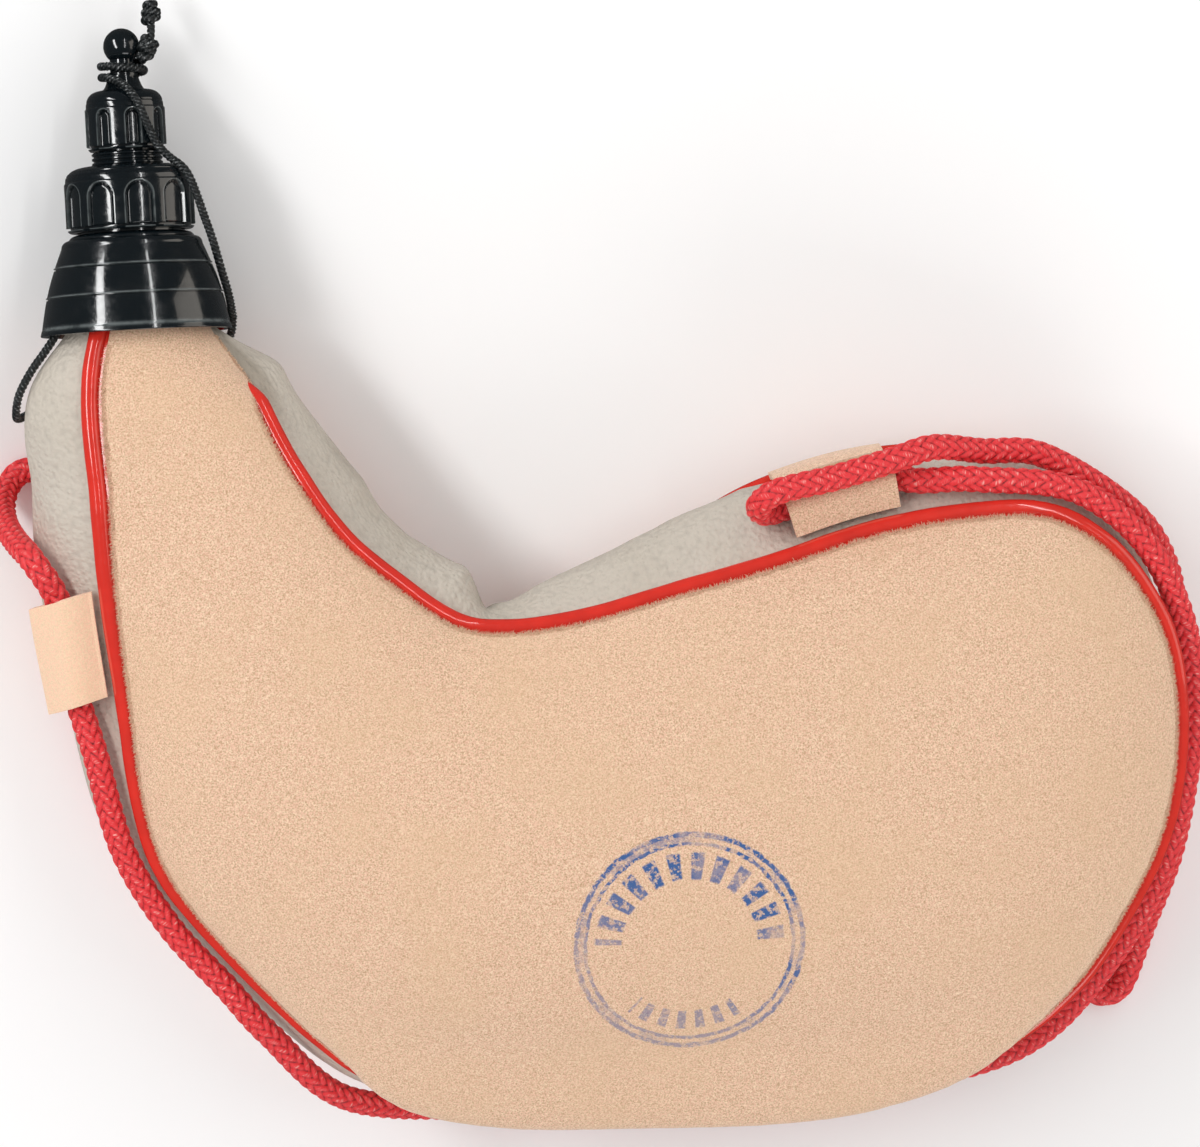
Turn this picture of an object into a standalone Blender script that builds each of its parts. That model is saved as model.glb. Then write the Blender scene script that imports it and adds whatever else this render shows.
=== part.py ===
"""A two litre leather drinking bag, lying on its back panel.

Metres, +Z up. X runs across the bag and Y towards its nozzle, as seen from above.
The bag is one closed skin, cut into front panel, gusset and back panel along two piped
seams. The skin is described on a chain of stations that starts at the neck, runs down the
outer side, round the lobe and back along the inner side to the neck. Each station has a
section: from the front seam over the front panel to the spine, over the gusset to the back
seam, and under the back panel to the spine again.
"""

import math

import bmesh
import bpy
import numpy as np
from mathutils import Matrix, Vector

# Bag
BAG_WIDTH = 0.257  # front seam, across
BAG_LENGTH = 0.185  # front seam, from its lowest point to the neck
FRONT_SEAM_HEIGHT = 0.050
BACK_SEAM_HEIGHT = 0.012
CROWN_HEIGHT = 0.075  # highest point of the front panel
BACK_REACH = 0.014  # how far the back seam can lie outside the front seam
GUSSET_BULGE = 0.0125
BELLY_OVERHANG = 0.010  # how far the front panel hangs over its seam at the lower side
PANEL_LEATHER = 0.0018
GUSSET_SHEET = 0.0014
PIPING_RADIUS = 0.0021
SEAM_CLEARANCE = 0.0006
LINER_INSET = 0.0030  # from the skin's outside to the liner's outside
LINER_WALL = 0.0008

# Neck of the bag
NECK_HEIGHT = 0.025  # centre of the nozzle's rim above the table
NECK_LEAN = math.radians(3.2)
NECK_DROOP = math.radians(10.5)
NECK_THROAT_RADIUS = 0.0143  # leather where it is tied on the insert
NECK_MOUTH_RADIUS = 0.0176  # leather where it leaves the rim
NECK_MOUTH_OFFSET = 0.0006
NECK_DEPTH = 0.013  # how far the leather goes into the nozzle
NECK_BLEND = 0.030  # length over which the round neck becomes the bag's section
NECK_BAND_HEIGHT = 0.0042
NECK_BAND_THICKNESS = 0.0012

# Nozzle, lengths along its axis
INSERT_OUTER_RADIUS = 0.0094
BORE_RADIUS = 0.0080
INSERT_BELOW_RIM = 0.006
BASE_HEIGHT = 0.0222
BASE_RIM_RADIUS = 0.0225
BASE_SHOULDER_RADIUS = 0.0166
BASE_ROUNDING = 0.0018
BASE_WALL = 0.0011
BASE_LIP = 0.0016
BASE_BARREL = 0.0007
BASE_GROOVE = 0.0004
BASE_NECK_RADIUS = 0.0119
BASE_NECK_HEIGHT = 0.0098
COLLAR_SEAT_GAP = 0.0018
COLLAR_RADIUS = 0.0152
COLLAR_SKIRT = 0.0114
COLLAR_DOME = 0.0040
COLLAR_FLUTES = 10
COLLAR_FLUTE_WIDTH = 0.0068
FLUTE_DEPTH = 0.0008
FLUTE_RIM = 0.0011  # plain rim under the flutes
THREAD_PLAY = 0.0009
SPOUT_FLANGE_RADIUS = 0.0083
SPOUT_FLANGE_HEIGHT = 0.0032
SPOUT_RADIUS = 0.0066
SPOUT_HEIGHT = 0.0098
SPOUT_BORE_RADIUS = 0.0034
SPOUT_JET_RADIUS = 0.0009
SPOUT_TIP_WALL = 0.0018
CAP_RADIUS = 0.0094
CAP_SKIRT = 0.0098
CAP_DOME = 0.0044
CAP_FLUTES = 8
CAP_FLUTE_WIDTH = 0.0037
KNOB_FLARE_RADIUS = 0.0050
KNOB_NECK_RADIUS = 0.0036
KNOB_NECK_HEIGHT = 0.0040
KNOB_GROOVE_RADIUS = 0.0029
KNOB_GROOVE_HEIGHT = 0.0032
KNOB_BALL_RADIUS = 0.00425
WASHER_THICKNESS = 0.0009
RUN_CLEARANCE = 0.0003
CUT_OVERRUN = 0.002

# Keepers and cords
KEEPER_WIDTH = 0.025
KEEPER_LEATHER = 0.0018
CORD_RADIUS = 0.003
CORD_CLEARANCE = 0.0006
STRING_RADIUS = 0.00095
STRING_PITCH = 0.0026
STRING_TURNS = 1.56
STRING_START = math.radians(160)  # where the winding begins, from the right-hand side

# Shares of the sizes above. Those in plan run over the front seam's width and length.
ORIGIN_SHARE = (0.4755, 0.6623)
NECK_SHARE = (0.0416, 0.975)
# x, y, height of the front seam, reach of the back seam, bulge of the gusset
OUTLINE_SHARES = (
    (0.000, 1.000, 0.84, 0.20, 0.36),
    (0.002, 0.891, 0.92, 0.50, 0.75),
    (0.006, 0.789, 0.98, 0.60, 0.90),
    (0.015, 0.661, 1.00, 0.62, 0.90),
    (0.030, 0.526, 1.00, 0.55, 0.80),
    (0.045, 0.392, 1.00, 0.45, 0.68),
    (0.068, 0.300, 1.00, 0.30, 0.58),
    (0.122, 0.207, 1.00, 0.15, 0.54),
    (0.205, 0.092, 0.98, 0.05, 0.54),
    (0.271, 0.030, 0.94, -0.05, 0.54),
    (0.372, 0.004, 0.90, -0.10, 0.54),
    (0.501, 0.000, 0.88, -0.15, 0.54),
    (0.631, 0.003, 0.88, -0.15, 0.54),
    (0.741, 0.022, 0.90, -0.15, 0.50),
    (0.837, 0.068, 0.94, -0.15, 0.43),
    (0.907, 0.148, 0.98, -0.20, 0.24),
    (0.954, 0.248, 1.00, -0.25, 0.14),
    (0.989, 0.359, 1.00, -0.28, 0.11),
    (1.000, 0.481, 1.00, -0.25, 0.11),
    (0.990, 0.594, 1.00, -0.10, 0.14),
    (0.962, 0.674, 1.00, 0.10, 0.24),
    (0.921, 0.737, 1.00, 0.30, 0.36),
    (0.865, 0.773, 1.00, 0.50, 0.48),
    (0.784, 0.768, 1.00, 0.62, 0.50),
    (0.704, 0.745, 1.00, 0.75, 0.50),
    (0.620, 0.705, 1.00, 0.72, 0.56),
    (0.535, 0.670, 1.00, 0.28, 0.92),
    (0.451, 0.635, 1.00, -0.08, 0.84),
    (0.381, 0.620, 1.00, -0.34, 0.58),
    (0.332, 0.629, 1.00, -0.30, 0.55),
    (0.279, 0.678, 1.00, 0.10, 0.55),
    (0.227, 0.739, 0.98, 0.35, 0.50),
    (0.182, 0.825, 0.90, 0.15, 0.64),
    (0.149, 0.910, 0.78, 0.00, 0.60),
    (0.118, 1.000, 0.62, -0.10, 0.40),
)
OUTER_LAST = 14  # outline points between which the lobe's end is closed as a fan
INNER_FIRST = 24
# share of the way along the spine, height of the crown
CROWN_SHARES = ((0.0, 0.60), (0.15, 0.72), (0.35, 0.90), (0.60, 1.0), (1.0, 0.96))
ROW_CROWDING = 1.5  # how much nearer the rows of a panel lie to its seam
FLAT_SHARE = 0.45  # middle of the back panel, which lies on the table
CROWN_POWER = 0.64
BELLY_POWER = 6  # how fast the belly's overhang fades towards the bag's sides
LEFT_SEAM_ANGLES = (math.radians(123), math.radians(220))
RIGHT_SEAM_ANGLES = (math.radians(18), math.radians(-40))
# how deep each inner ring of the neck lies in the nozzle, and how far it has flared
NECK_RING_SHARES = ((1.0, 0.0), (0.5, 0.2))
NECK_FLARE_SHARES = (0.45, 0.6, 0.3)  # left, right and upright, over the distance from the rim
NECK_SWELL_SHARES = (0.35, 0.6)  # the same for the gusset's bulge, left and right
BASE_RING_SHARES = (0.39, 0.70)
THREAD_RIDGE_SHARES = (0.15, 0.5, 0.85)
# place along the gusset, place across it where the cord runs, and slant over its width
LEFT_KEEPER_SHARES = (0.115, 0.25, 0.013)
RIGHT_KEEPER_SHARES = (0.738, 0.25, 0.0)
KEEPER_ARCH_SHARE = 0.22
KEEPER_TOP_SHARE = 1.6  # over 1, so that the arch has a flat top
KEEPER_EDGE_SHARE = 0.04  # across the gusset, where the arch starts from its edge
# The shoulder cord's route. "gusset" points: place along the gusset, place across it and
# height over it in cord radii. "clear" points: place in plan and height in cord radii.
CORD_ROUTE_SHARES = (
    ("clear", 0.375, -0.020, 2.1),
    ("clear", 0.340, -0.014, 1.6),
    ("clear", 0.300, -0.004, 1.1),
    ("clear", 0.245, 0.027, 1.1),
    ("clear", 0.177, 0.091, 1.1),
    ("clear", 0.118, 0.159, 1.1),
    ("clear", 0.066, 0.238, 1.1),
    ("clear", 0.022, 0.335, 1.1),
    ("clear", 0.004, 0.445, 1.1),
    ("clear", -0.012, 0.547, 1.1),
    ("clear", -0.022, 0.653, 1.1),
    ("clear", -0.030, 0.728, 1.1),
    ("clear", -0.036, 0.758, 1.1),
    ("clear", -0.049, 0.777, 1.1),
    ("clear", -0.065, 0.776, 1.2),
    ("clear", -0.077, 0.757, 1.7),
    ("clear", -0.081, 0.736, 3.6),
    ("clear", -0.077, 0.722, 7.0),
    ("clear", -0.068, 0.712, 10.6),
    ("gusset", 0.087, 0.34, 2.2),
    ("gusset", 0.099, 0.26, 1.35),
    ("gusset", 0.115, 0.25, 1.4),
    ("gusset", 0.130, 0.24, 1.4),
    ("gusset", 0.146, 0.17, 1.5),
    ("gusset", 0.175, 0.12, 1.5),
    ("gusset", 0.200, 0.12, 1.5),
    ("gusset", 0.225, 0.13, 1.5),
    ("gusset", 0.245, 0.18, 1.6),
    ("gusset", 0.275, 0.36, 1.6),
    ("gusset", 0.310, 0.65, 1.6),
    ("gusset", 0.350, 0.75, 1.5),
    ("gusset", 0.400, 0.75, 1.5),
    ("gusset", 0.440, 0.70, 1.6),
    ("gusset", 0.478, 0.52, 1.6),
    ("gusset", 0.510, 0.36, 1.6),
    ("gusset", 0.550, 0.25, 1.5),
    ("gusset", 0.600, 0.21, 1.5),
    ("gusset", 0.640, 0.15, 1.55),
    ("gusset", 0.670, 0.12, 1.6),
    ("gusset", 0.698, 0.12, 1.75),
    ("gusset", 0.714, 0.18, 1.5),
    ("gusset", 0.7235, 0.25, 1.4),
    ("gusset", 0.738, 0.27, 1.4),
    ("gusset", 0.7475, 0.27, 1.4),
    ("gusset", 0.756, 0.26, 1.42),
    ("gusset", 0.7612, 0.235, 1.97),
    ("gusset", 0.7633, 0.20, 3.28),
    ("gusset", 0.7612, 0.17, 4.6),
    ("gusset", 0.756, 0.16, 5.15),
    ("gusset", 0.748, 0.15, 5.05),
    ("gusset", 0.738, 0.145, 4.7),
    ("gusset", 0.722, 0.165, 4.65),
    ("gusset", 0.710, 0.235, 4.1),
    ("gusset", 0.696, 0.29, 2.4),
    ("gusset", 0.680, 0.32, 1.75),
    ("gusset", 0.655, 0.34, 1.5),
    ("gusset", 0.635, 0.44, 1.5),
    ("clear", 1.012, 0.573, 7.0),
    ("clear", 1.027, 0.490, 5.4),
    ("clear", 1.031, 0.408, 5.0),
    ("clear", 1.020, 0.285, 4.0),
    ("clear", 0.999, 0.180, 2.5),
    ("clear", 0.991, 0.135, 1.6),
    ("clear", 0.9845, 0.103, 1.2),
    ("clear", 0.9775, 0.086, 1.1),
    ("clear", 0.965, 0.079, 1.1),
    ("clear", 0.952, 0.086, 1.1),
    ("clear", 0.944, 0.103, 1.1),
    ("clear", 0.934, 0.120, 1.1),
    ("clear", 0.917, 0.126, 1.1),
    ("clear", 0.893, 0.112, 1.1),
    ("clear", 0.852, 0.068, 1.1),
    ("clear", 0.790, 0.022, 1.1),
    ("clear", 0.720, -0.008, 1.1),
    ("clear", 0.640, -0.024, 1.1),
    ("clear", 0.550, -0.030, 1.1),
    ("clear", 0.500, -0.030, 1.5),
    ("clear", 0.465, -0.028, 2.1),
)
KNOT_SWELL = 0.9
BEND_SHARE = 20  # a radian of bend gets as many points as this many cord radii
# The retaining cord's run past the caps, then along the cone, then round the neck and up
# under the rim: across, up and along the nozzle, with the rim's radius at 22.5
RIM_SHARE = 22.5
STRING_UPPER_SHARES = (
    (-3.7, 4.6, 59.8),
    (-1.3, 7.0, 58.8),
    (1.2, 9.4, 56.4),
    (3.2, 10.5, 53.2),
    (5.0, 9.8, 48.5),
    (7.2, 8.3, 43.5),
    (9.9, 8.3, 40.4),
    (12.7, 8.9, 38.0),
    (14.4, 8.7, 35.2),
    (15.9, 6.6, 31.0),
    (17.2, 4.6, 26.6),
)
STRING_LOWER_SHARES = (
    (17.2, 4.6, 26.6),
    (18.9, 3.2, 21.0),
    (20.6, 1.2, 14.0),
    (22.1, -2.0, 8.0),
    (22.9, -7.4, 3.0),
)
STRING_NECK_SHARES = (
    (22.9, -7.4, 3.0),
    (21.9, -12.0, -1.5),
    (17.0, -19.0, -5.0),
    (9.0, -24.0, -7.5),
    (0.0, -25.2, -8.5),
    (-9.0, -24.4, -9.5),
    (-18.0, -20.8, -12.0),
    (-25.0, -13.5, -16.5),
    (-28.6, -5.5, -18.5),
    (-29.2, -0.5, -17.5),
    (-28.2, 2.5, -13.2),
    (-25.2, 3.6, -8.0),
    (-21.3, 4.1, -3.0),
    (-19.2, 4.2, 0.0),
    (-18.1, 4.2, 3.0),
    (-17.2, 4.0, 6.5),
)
# the knot beside the ball and its tail, with how much each point swells
STRING_KNOT_SHARES = (
    (5.1, 0.5, 64.4, 1.0),
    (5.3, 1.8, 65.4, 1.2),
    (6.4, 1.8, 67.3, 1.9),
    (7.0, 1.4, 69.3, 1.2),
    (7.2, 1.0, 72.0, 1.0),
    (7.3, 0.9, 74.6, 1.7),
    (7.7, 0.7, 76.1, 1.1),
    (8.7, 0.3, 77.8, 0.8),
)

# Counts
SIDE_STATIONS = 20
LOBE_STATIONS = 14
FRONT_ROWS = 7
GUSSET_ROWS = 5
BACK_ROWS = 5
LINER_ROWS = (4, 3, 3)
KEEPER_COLUMNS = 5
KEEPER_ROWS = 10
SECTION_POINTS = 33
CORD_POINTS = 80
CURVE_STEPS = 8
TURN_POINTS = 24
KNOT_POINTS = 9
STRING_POINT_STEP = 2.5
ROUND_STEPS = 40
ARC_STEPS = 5

FINISHES = {
    "suede": ((0.80, 0.62, 0.43), 0.95),
    "sheet": ((0.52, 0.50, 0.45), 0.55),
    "vinyl": ((0.74, 0.05, 0.03), 0.25),
    "braid": ((0.70, 0.03, 0.04), 0.70),
    "plastic": ((0.012, 0.016, 0.018), 0.15),
    "string": ((0.012, 0.014, 0.015), 0.60),
    "rubber": ((0.06, 0.06, 0.06), 0.70),
    "latex": ((0.72, 0.66, 0.52), 0.45),
    "twine": ((0.62, 0.52, 0.36), 0.85),
}


def clear_scene():
    for obj in list(bpy.data.objects):
        bpy.data.objects.remove(obj, do_unlink=True)


def new_collection(name):
    made = bpy.data.collections.new(name)
    bpy.context.scene.collection.children.link(made)
    return made


def hold(obj, collection, parent=None):
    for holder in list(obj.users_collection):
        holder.objects.unlink(obj)
    collection.objects.link(obj)
    obj.parent = parent
    return obj


def finish(obj, kind, parent=None):
    """Gives an object its own material and its place in the bag's collection."""
    colour, roughness = FINISHES[kind]
    material = bpy.data.materials.new(obj.name + "_" + kind)
    material.use_nodes = True
    shader = material.node_tree.nodes["Principled BSDF"]
    shader.inputs["Base Color"].default_value = (*colour, 1.0)
    shader.inputs["Roughness"].default_value = roughness
    obj.data.materials.append(material)
    return hold(obj, parts, parent)


def as_cutter(obj, parent=None):
    obj.hide_render = True
    obj.display_type = "WIRE"
    return hold(obj, cutters, parent)


def mesh_object(name, vertices, faces, edges=()):
    mesh = bpy.data.meshes.new(name)
    mesh.from_pydata([tuple(v) for v in vertices], list(edges), list(faces))
    obj = bpy.data.objects.new(name, mesh)
    bpy.context.scene.collection.objects.link(obj)
    return obj


def cut(obj, cutter):
    modifier = obj.modifiers.new("cut by " + cutter.name, "BOOLEAN")
    modifier.operation = "DIFFERENCE"
    modifier.object = cutter


def solidify(obj, thickness, even=True):
    """Thickens a surface on its inner side."""
    modifier = obj.modifiers.new("thickness", "SOLIDIFY")
    modifier.thickness = thickness
    modifier.offset = -1
    modifier.use_even_offset = even


# Curves through points


def smooth_curve(points, steps):
    """A Catmull-Rom curve through points of any dimension."""
    p = np.asarray(points, float)
    p = np.vstack([2 * p[0] - p[1], p, 2 * p[-1] - p[-2]])
    made = []
    for i in range(1, len(p) - 2):
        a, b, c, d = p[i - 1 : i + 3]
        for k in range(steps):
            t = k / steps
            straight = b + (c - a) * t / 2
            bend = (2 * a - 5 * b + 4 * c - d) * t**2 / 2 + (3 * b - a - 3 * c + d) * t**3 / 2
            made.append(straight + bend)
    made.append(p[-2])
    return np.array(made)


def distances(points):
    steps = np.linalg.norm(np.diff(points, axis=0), axis=1)
    return np.concatenate([[0.0], np.cumsum(steps)])


def at_distances(points, run, wanted):
    return np.column_stack([np.interp(wanted, run, points[:, k]) for k in range(points.shape[1])])


def spaced(points, count, first=0.0, last=0.0, crowding=1.0):
    """count points along a curve, leaving out a length at the start and at the end."""
    run = distances(points)
    shares = np.linspace(0, 1, count) ** crowding
    return at_distances(points, run, first + (run[-1] - last - first) * shares)


def spaced_by_bends(points, count, first, last, bend_length):
    """Like spaced, with more points where the curve turns: a radian counts as a length."""
    run = distances(points)
    ways = np.diff(points, axis=0) / np.diff(run)[:, None]
    turns = np.arccos(np.clip((ways[1:] * ways[:-1]).sum(axis=1), -1, 1))
    weighed = run + bend_length * np.concatenate([[0.0], np.cumsum(turns), [turns.sum()]])
    ends = np.interp([first, run[-1] - last], run, weighed)
    return at_distances(points, weighed, np.linspace(*ends, count))


def even_rows(rows, count):
    """Like spaced, by distance in plan."""
    run = distances(rows[:, :2])
    return at_distances(rows, run, np.linspace(0, run[-1], count))


def smoothstep(x):
    x = min(max(x, 0.0), 1.0)
    return x * x * (3 - 2 * x)


# The neck's frame: across, up and along its axis


def plan(x_share, y_share):
    return (
        (x_share - ORIGIN_SHARE[0]) * BAG_WIDTH,
        (y_share - ORIGIN_SHARE[1]) * BAG_LENGTH,
    )


def neck_axes():
    across = Vector((math.cos(NECK_LEAN), math.sin(NECK_LEAN), 0.0))
    level = Vector((-math.sin(NECK_LEAN), math.cos(NECK_LEAN), 0.0))
    along = level * math.cos(NECK_DROOP) - Vector((0.0, 0.0, math.sin(NECK_DROOP)))
    return across, across.cross(along), along


def neck_place(across, up, along):
    """World place of a point given across, up and along the neck's axis from the rim's centre."""
    ways = neck_axes()
    centre = Vector((*plan(*NECK_SHARE), NECK_HEIGHT))
    return np.array(centre + ways[0] * across + ways[1] * up + ways[2] * along)


def neck_ring_point(along, radius, offset, angle):
    """A point of the leather round the neck, wider than a circle where it leaves the rim."""
    left, right, upright = (radius + share * max(0.0, -along) for share in NECK_FLARE_SHARES)
    side = (right if math.cos(angle) > 0 else left) * math.cos(angle)
    return neck_place(offset + side, upright * math.sin(angle), along)


# The bag's skin


class Station:
    """One place on the chain, with the curves of its section."""

    def __init__(self, row, normal, spine, crown, left, ring=None):
        self.normal = np.array([*normal, 0.0])
        self.front = np.array(row[:3])
        self.back = self.front + self.normal * row[3]
        self.back[2] = BACK_SEAM_HEIGHT
        self.bulge = row[4]
        self.spine = np.array([*spine, 0.0])
        self.crown = crown
        self.left = left
        self.ring = ring

    def front_curve(self):
        """From the front seam over the panel to the spine."""
        turn = np.linspace(0, math.pi / 2, SECTION_POINTS)
        out = np.cos(turn)
        line = self.spine + (self.front * [1, 1, 0] - self.spine) * out[:, None]
        line[:, 2] = self.front[2]
        line[:, 2] += (self.crown - self.front[2]) * (1 - out**2).clip(0) ** CROWN_POWER
        sag = BELLY_OVERHANG * max(0.0, -self.normal[1]) ** BELLY_POWER
        line += self.normal * (sag * np.where(turn < math.pi / 4, np.sin(4 * turn), 0) ** 2)[:, None]
        return self.drawn_to_neck(line, 0, math.pi / 2)

    def gusset_curve(self):
        """From the front seam to the back seam."""
        share = np.linspace(0, 1, SECTION_POINTS)[:, None]
        line = self.front + (self.back - self.front) * share
        line += self.normal * self.bulge * np.sin(math.pi * share)
        if self.ring is not None:
            rate = NECK_SWELL_SHARES[0 if self.left else 1]
            swell = np.sin(math.pi * share) * rate * max(0.0, -self.ring[1])
            weight = self.ring[0]
            return self.drawn_to_neck(line, 0, None) + self.normal * swell * (1 - weight)
        return self.drawn_to_neck(line, 0, None)

    def back_curve(self):
        """From the back seam under the panel to the spine."""
        out = np.cos(np.linspace(0, math.pi / 2, SECTION_POINTS))
        line = self.spine + (self.back * [1, 1, 0] - self.spine) * out[:, None]
        rise = ((out - FLAT_SHARE) / (1 - FLAT_SHARE)).clip(0) ** 2
        line[:, 2] = BACK_SEAM_HEIGHT * rise
        return self.drawn_to_neck(line, 1, math.pi * 1.5 if self.left else -math.pi / 2)

    def drawn_to_neck(self, line, first, last):
        """The curve, drawn towards the round neck where it is near."""
        if self.ring is None:
            return line
        weight, along, radius, offset = self.ring
        seams = LEFT_SEAM_ANGLES if self.left else RIGHT_SEAM_ANGLES
        turn = np.linspace(seams[first], seams[1] if last is None else last, SECTION_POINTS)
        circle = np.array([neck_ring_point(along, radius, offset, a) for a in turn])
        return circle + (line - circle) * weight


def make_chain():
    """The stations in order."""
    fine = 24
    sized = [
        (*plan(x, y), height * FRONT_SEAM_HEIGHT, reach * BACK_REACH, bulge * GUSSET_BULGE)
        for x, y, height, reach, bulge in OUTLINE_SHARES
    ]
    rows = smooth_curve(sized, fine)
    outer = even_rows(rows[: OUTER_LAST * fine + 1], SIDE_STATIONS + 1)
    lobe = even_rows(rows[OUTER_LAST * fine : INNER_FIRST * fine + 1], LOBE_STATIONS + 1)
    inner = even_rows(rows[INNER_FIRST * fine :], SIDE_STATIONS + 1)
    rows = np.vstack([outer, lobe[1:-1], inner])
    way = np.gradient(rows[:, :2], axis=0)
    way /= np.linalg.norm(way, axis=1)[:, None]
    normals = np.column_stack([way[:, 1], -way[:, 0]])
    spine = (outer[:, :2] + inner[::-1, :2]) / 2
    reach = distances(spine)
    crowns = smooth_curve(CROWN_SHARES, fine)
    chain, last = [], len(rows) - 1
    for j, row in enumerate(rows):
        i = min(j, SIDE_STATIONS, last - j)
        crown = CROWN_HEIGHT * np.interp(i / SIDE_STATIONS, crowns[:, 0], crowns[:, 1])
        ring = None
        if reach[i] < NECK_BLEND:
            ring = (smoothstep(reach[i] / NECK_BLEND), -reach[i], NECK_MOUTH_RADIUS, NECK_MOUTH_OFFSET)
        chain.append(Station(row, normals[j], spine[i], crown, j < last / 2, ring))
    for depth, flare in reversed(NECK_RING_SHARES):
        radius = NECK_THROAT_RADIUS + (NECK_MOUTH_RADIUS - NECK_THROAT_RADIUS) * flare
        ring = (0.0, depth * NECK_DEPTH, radius, NECK_MOUTH_OFFSET * flare)
        chain.insert(0, Station(rows[0], normals[0], spine[0], 0.0, True, ring))
        chain.append(Station(rows[-1], normals[-1], spine[0], 0.0, False, ring))
    return chain


def surface(name, columns, outward):
    """A grid of quads over columns of points, its coinciding points joined."""
    count = len(columns[0])
    vertices = [p for column in columns for p in column]
    faces = []
    for j in range(len(columns) - 1):
        for k in range(count - 1):
            a, b = j * count + k, (j + 1) * count + k
            faces.append((a, b, b + 1, a + 1) if outward else (a, a + 1, b + 1, b))
    obj = mesh_object(name, vertices, faces)
    shape = bmesh.new()
    shape.from_mesh(obj.data)
    bmesh.ops.remove_doubles(shape, verts=shape.verts, dist=RUN_CLEARANCE / 30)
    shape.to_mesh(obj.data)
    shape.free()
    obj.data.shade_smooth()
    return obj


def make_skin(chain):
    """Front panel, gusset and back panel, held apart by the two pipings."""
    edge = PIPING_RADIUS + SEAM_CLEARANCE
    front = [spaced(s.front_curve(), FRONT_ROWS + 1, edge, 0, ROW_CROWDING) for s in chain]
    gusset = [spaced(s.gusset_curve(), GUSSET_ROWS + 1, edge, edge) for s in chain]
    back = [spaced(s.back_curve(), BACK_ROWS + 1, edge, 0, ROW_CROWDING) for s in chain]
    for name, columns, outward, thickness, kind in (
        ("front_panel", front, True, PANEL_LEATHER, "suede"),
        ("gusset", gusset, False, GUSSET_SHEET, "sheet"),
        ("back_panel", back, False, PANEL_LEATHER, "suede"),
    ):
        obj = finish(surface(name, columns, outward), kind)
        solidify(obj, thickness)


def make_liner(chain):
    """The bladder, a little inside the skin all round and open at the neck."""
    columns = []
    for s in chain:
        over = spaced(s.front_curve(), LINER_ROWS[0] + 1)[::-1]
        side = spaced(s.gusset_curve(), LINER_ROWS[1] + 1)
        under = spaced(s.back_curve(), LINER_ROWS[2] + 1)
        columns.append(np.vstack([over, side[1:], under[1:]]))
    obj = finish(surface("liner", columns, False), "latex")
    shape = bmesh.new()
    shape.from_mesh(obj.data)
    shape.normal_update()
    inward = [(v, v.normal * -LINER_INSET) for v in shape.verts]
    for vertex, move in inward:
        vertex.co += move
    shape.to_mesh(obj.data)
    shape.free()
    solidify(obj, LINER_WALL, even=False)


def tube(name, points, radius, kind, resolution=2, parent=None, swell=None):
    data = bpy.data.curves.new(name, "CURVE")
    data.dimensions = "3D"
    data.bevel_depth = radius
    data.bevel_resolution = resolution
    data.use_fill_caps = True
    spline = data.splines.new("POLY")
    spline.points.add(len(points) - 1)
    for point, place in zip(spline.points, points):
        point.co = (*place, 1.0)
    if swell is not None:
        for point, share in zip(spline.points, swell):
            point.radius = share
    obj = bpy.data.objects.new(name, data)
    bpy.context.scene.collection.objects.link(obj)
    return finish(obj, kind, parent)


def make_pipings(chain):
    within = chain[1:-1]
    front = [s.gusset_curve()[0] for s in within]
    back = [s.gusset_curve()[-1] for s in within]
    tube("front_piping", front, PIPING_RADIUS, "vinyl")
    tube("back_piping", back, PIPING_RADIUS, "vinyl")


# Keepers


class Gusset:
    """The gusset's outside, addressed by share of its length and share of its width."""

    def __init__(self, chain):
        self.columns = np.array([s.gusset_curve() for s in chain])
        run = distances(self.columns[:, 0])
        self.length = run[-1]
        self.run = run / run[-1]

    def curve(self, along):
        at = np.interp(along, self.run, np.arange(len(self.run)))
        low = min(int(at), len(self.columns) - 2)
        return self.columns[low] + (self.columns[low + 1] - self.columns[low]) * (at - low)

    def point(self, along, across):
        curve = self.curve(along)
        run = distances(curve)
        return at_distances(curve, run, [across * run[-1]])[0]

    def place(self, along, across, lift):
        """A point lifted off the gusset by some length."""
        small = 0.01
        a = self.point(along + small, across) - self.point(along - small, across)
        b = self.point(along, min(across + small, 1)) - self.point(along, max(across - small, 0))
        away = np.cross(b, a)
        return self.point(along, across) + away / np.linalg.norm(away) * lift


def make_keeper(name, gusset, along, highest, slant):
    """A strap over the gusset, arched where the shoulder cord runs under it."""
    rise = 2 * (CORD_RADIUS + CORD_CLEARANCE)
    half = KEEPER_WIDTH / 2 / gusset.length
    columns = []
    for place in np.linspace(along - half, along + half, KEEPER_COLUMNS):
        width = distances(gusset.curve(place))[-1]
        edge = (PIPING_RADIUS + SEAM_CLEARANCE) / width
        column = []
        for across in np.linspace(edge, 1 - edge, KEEPER_ROWS + 1):
            off = min(abs(across - highest) / KEEPER_ARCH_SHARE, 1)
            arch = rise * smoothstep((1 - off) * KEEPER_TOP_SHARE)
            arch *= smoothstep((across - edge) / KEEPER_EDGE_SHARE)
            lift = SEAM_CLEARANCE + KEEPER_LEATHER + arch
            column.append(gusset.place(place + slant * (across - highest), across, lift))
        columns.append(column)
    obj = finish(surface(name, columns, False), "suede")
    solidify(obj, KEEPER_LEATHER)


# Nozzle


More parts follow.
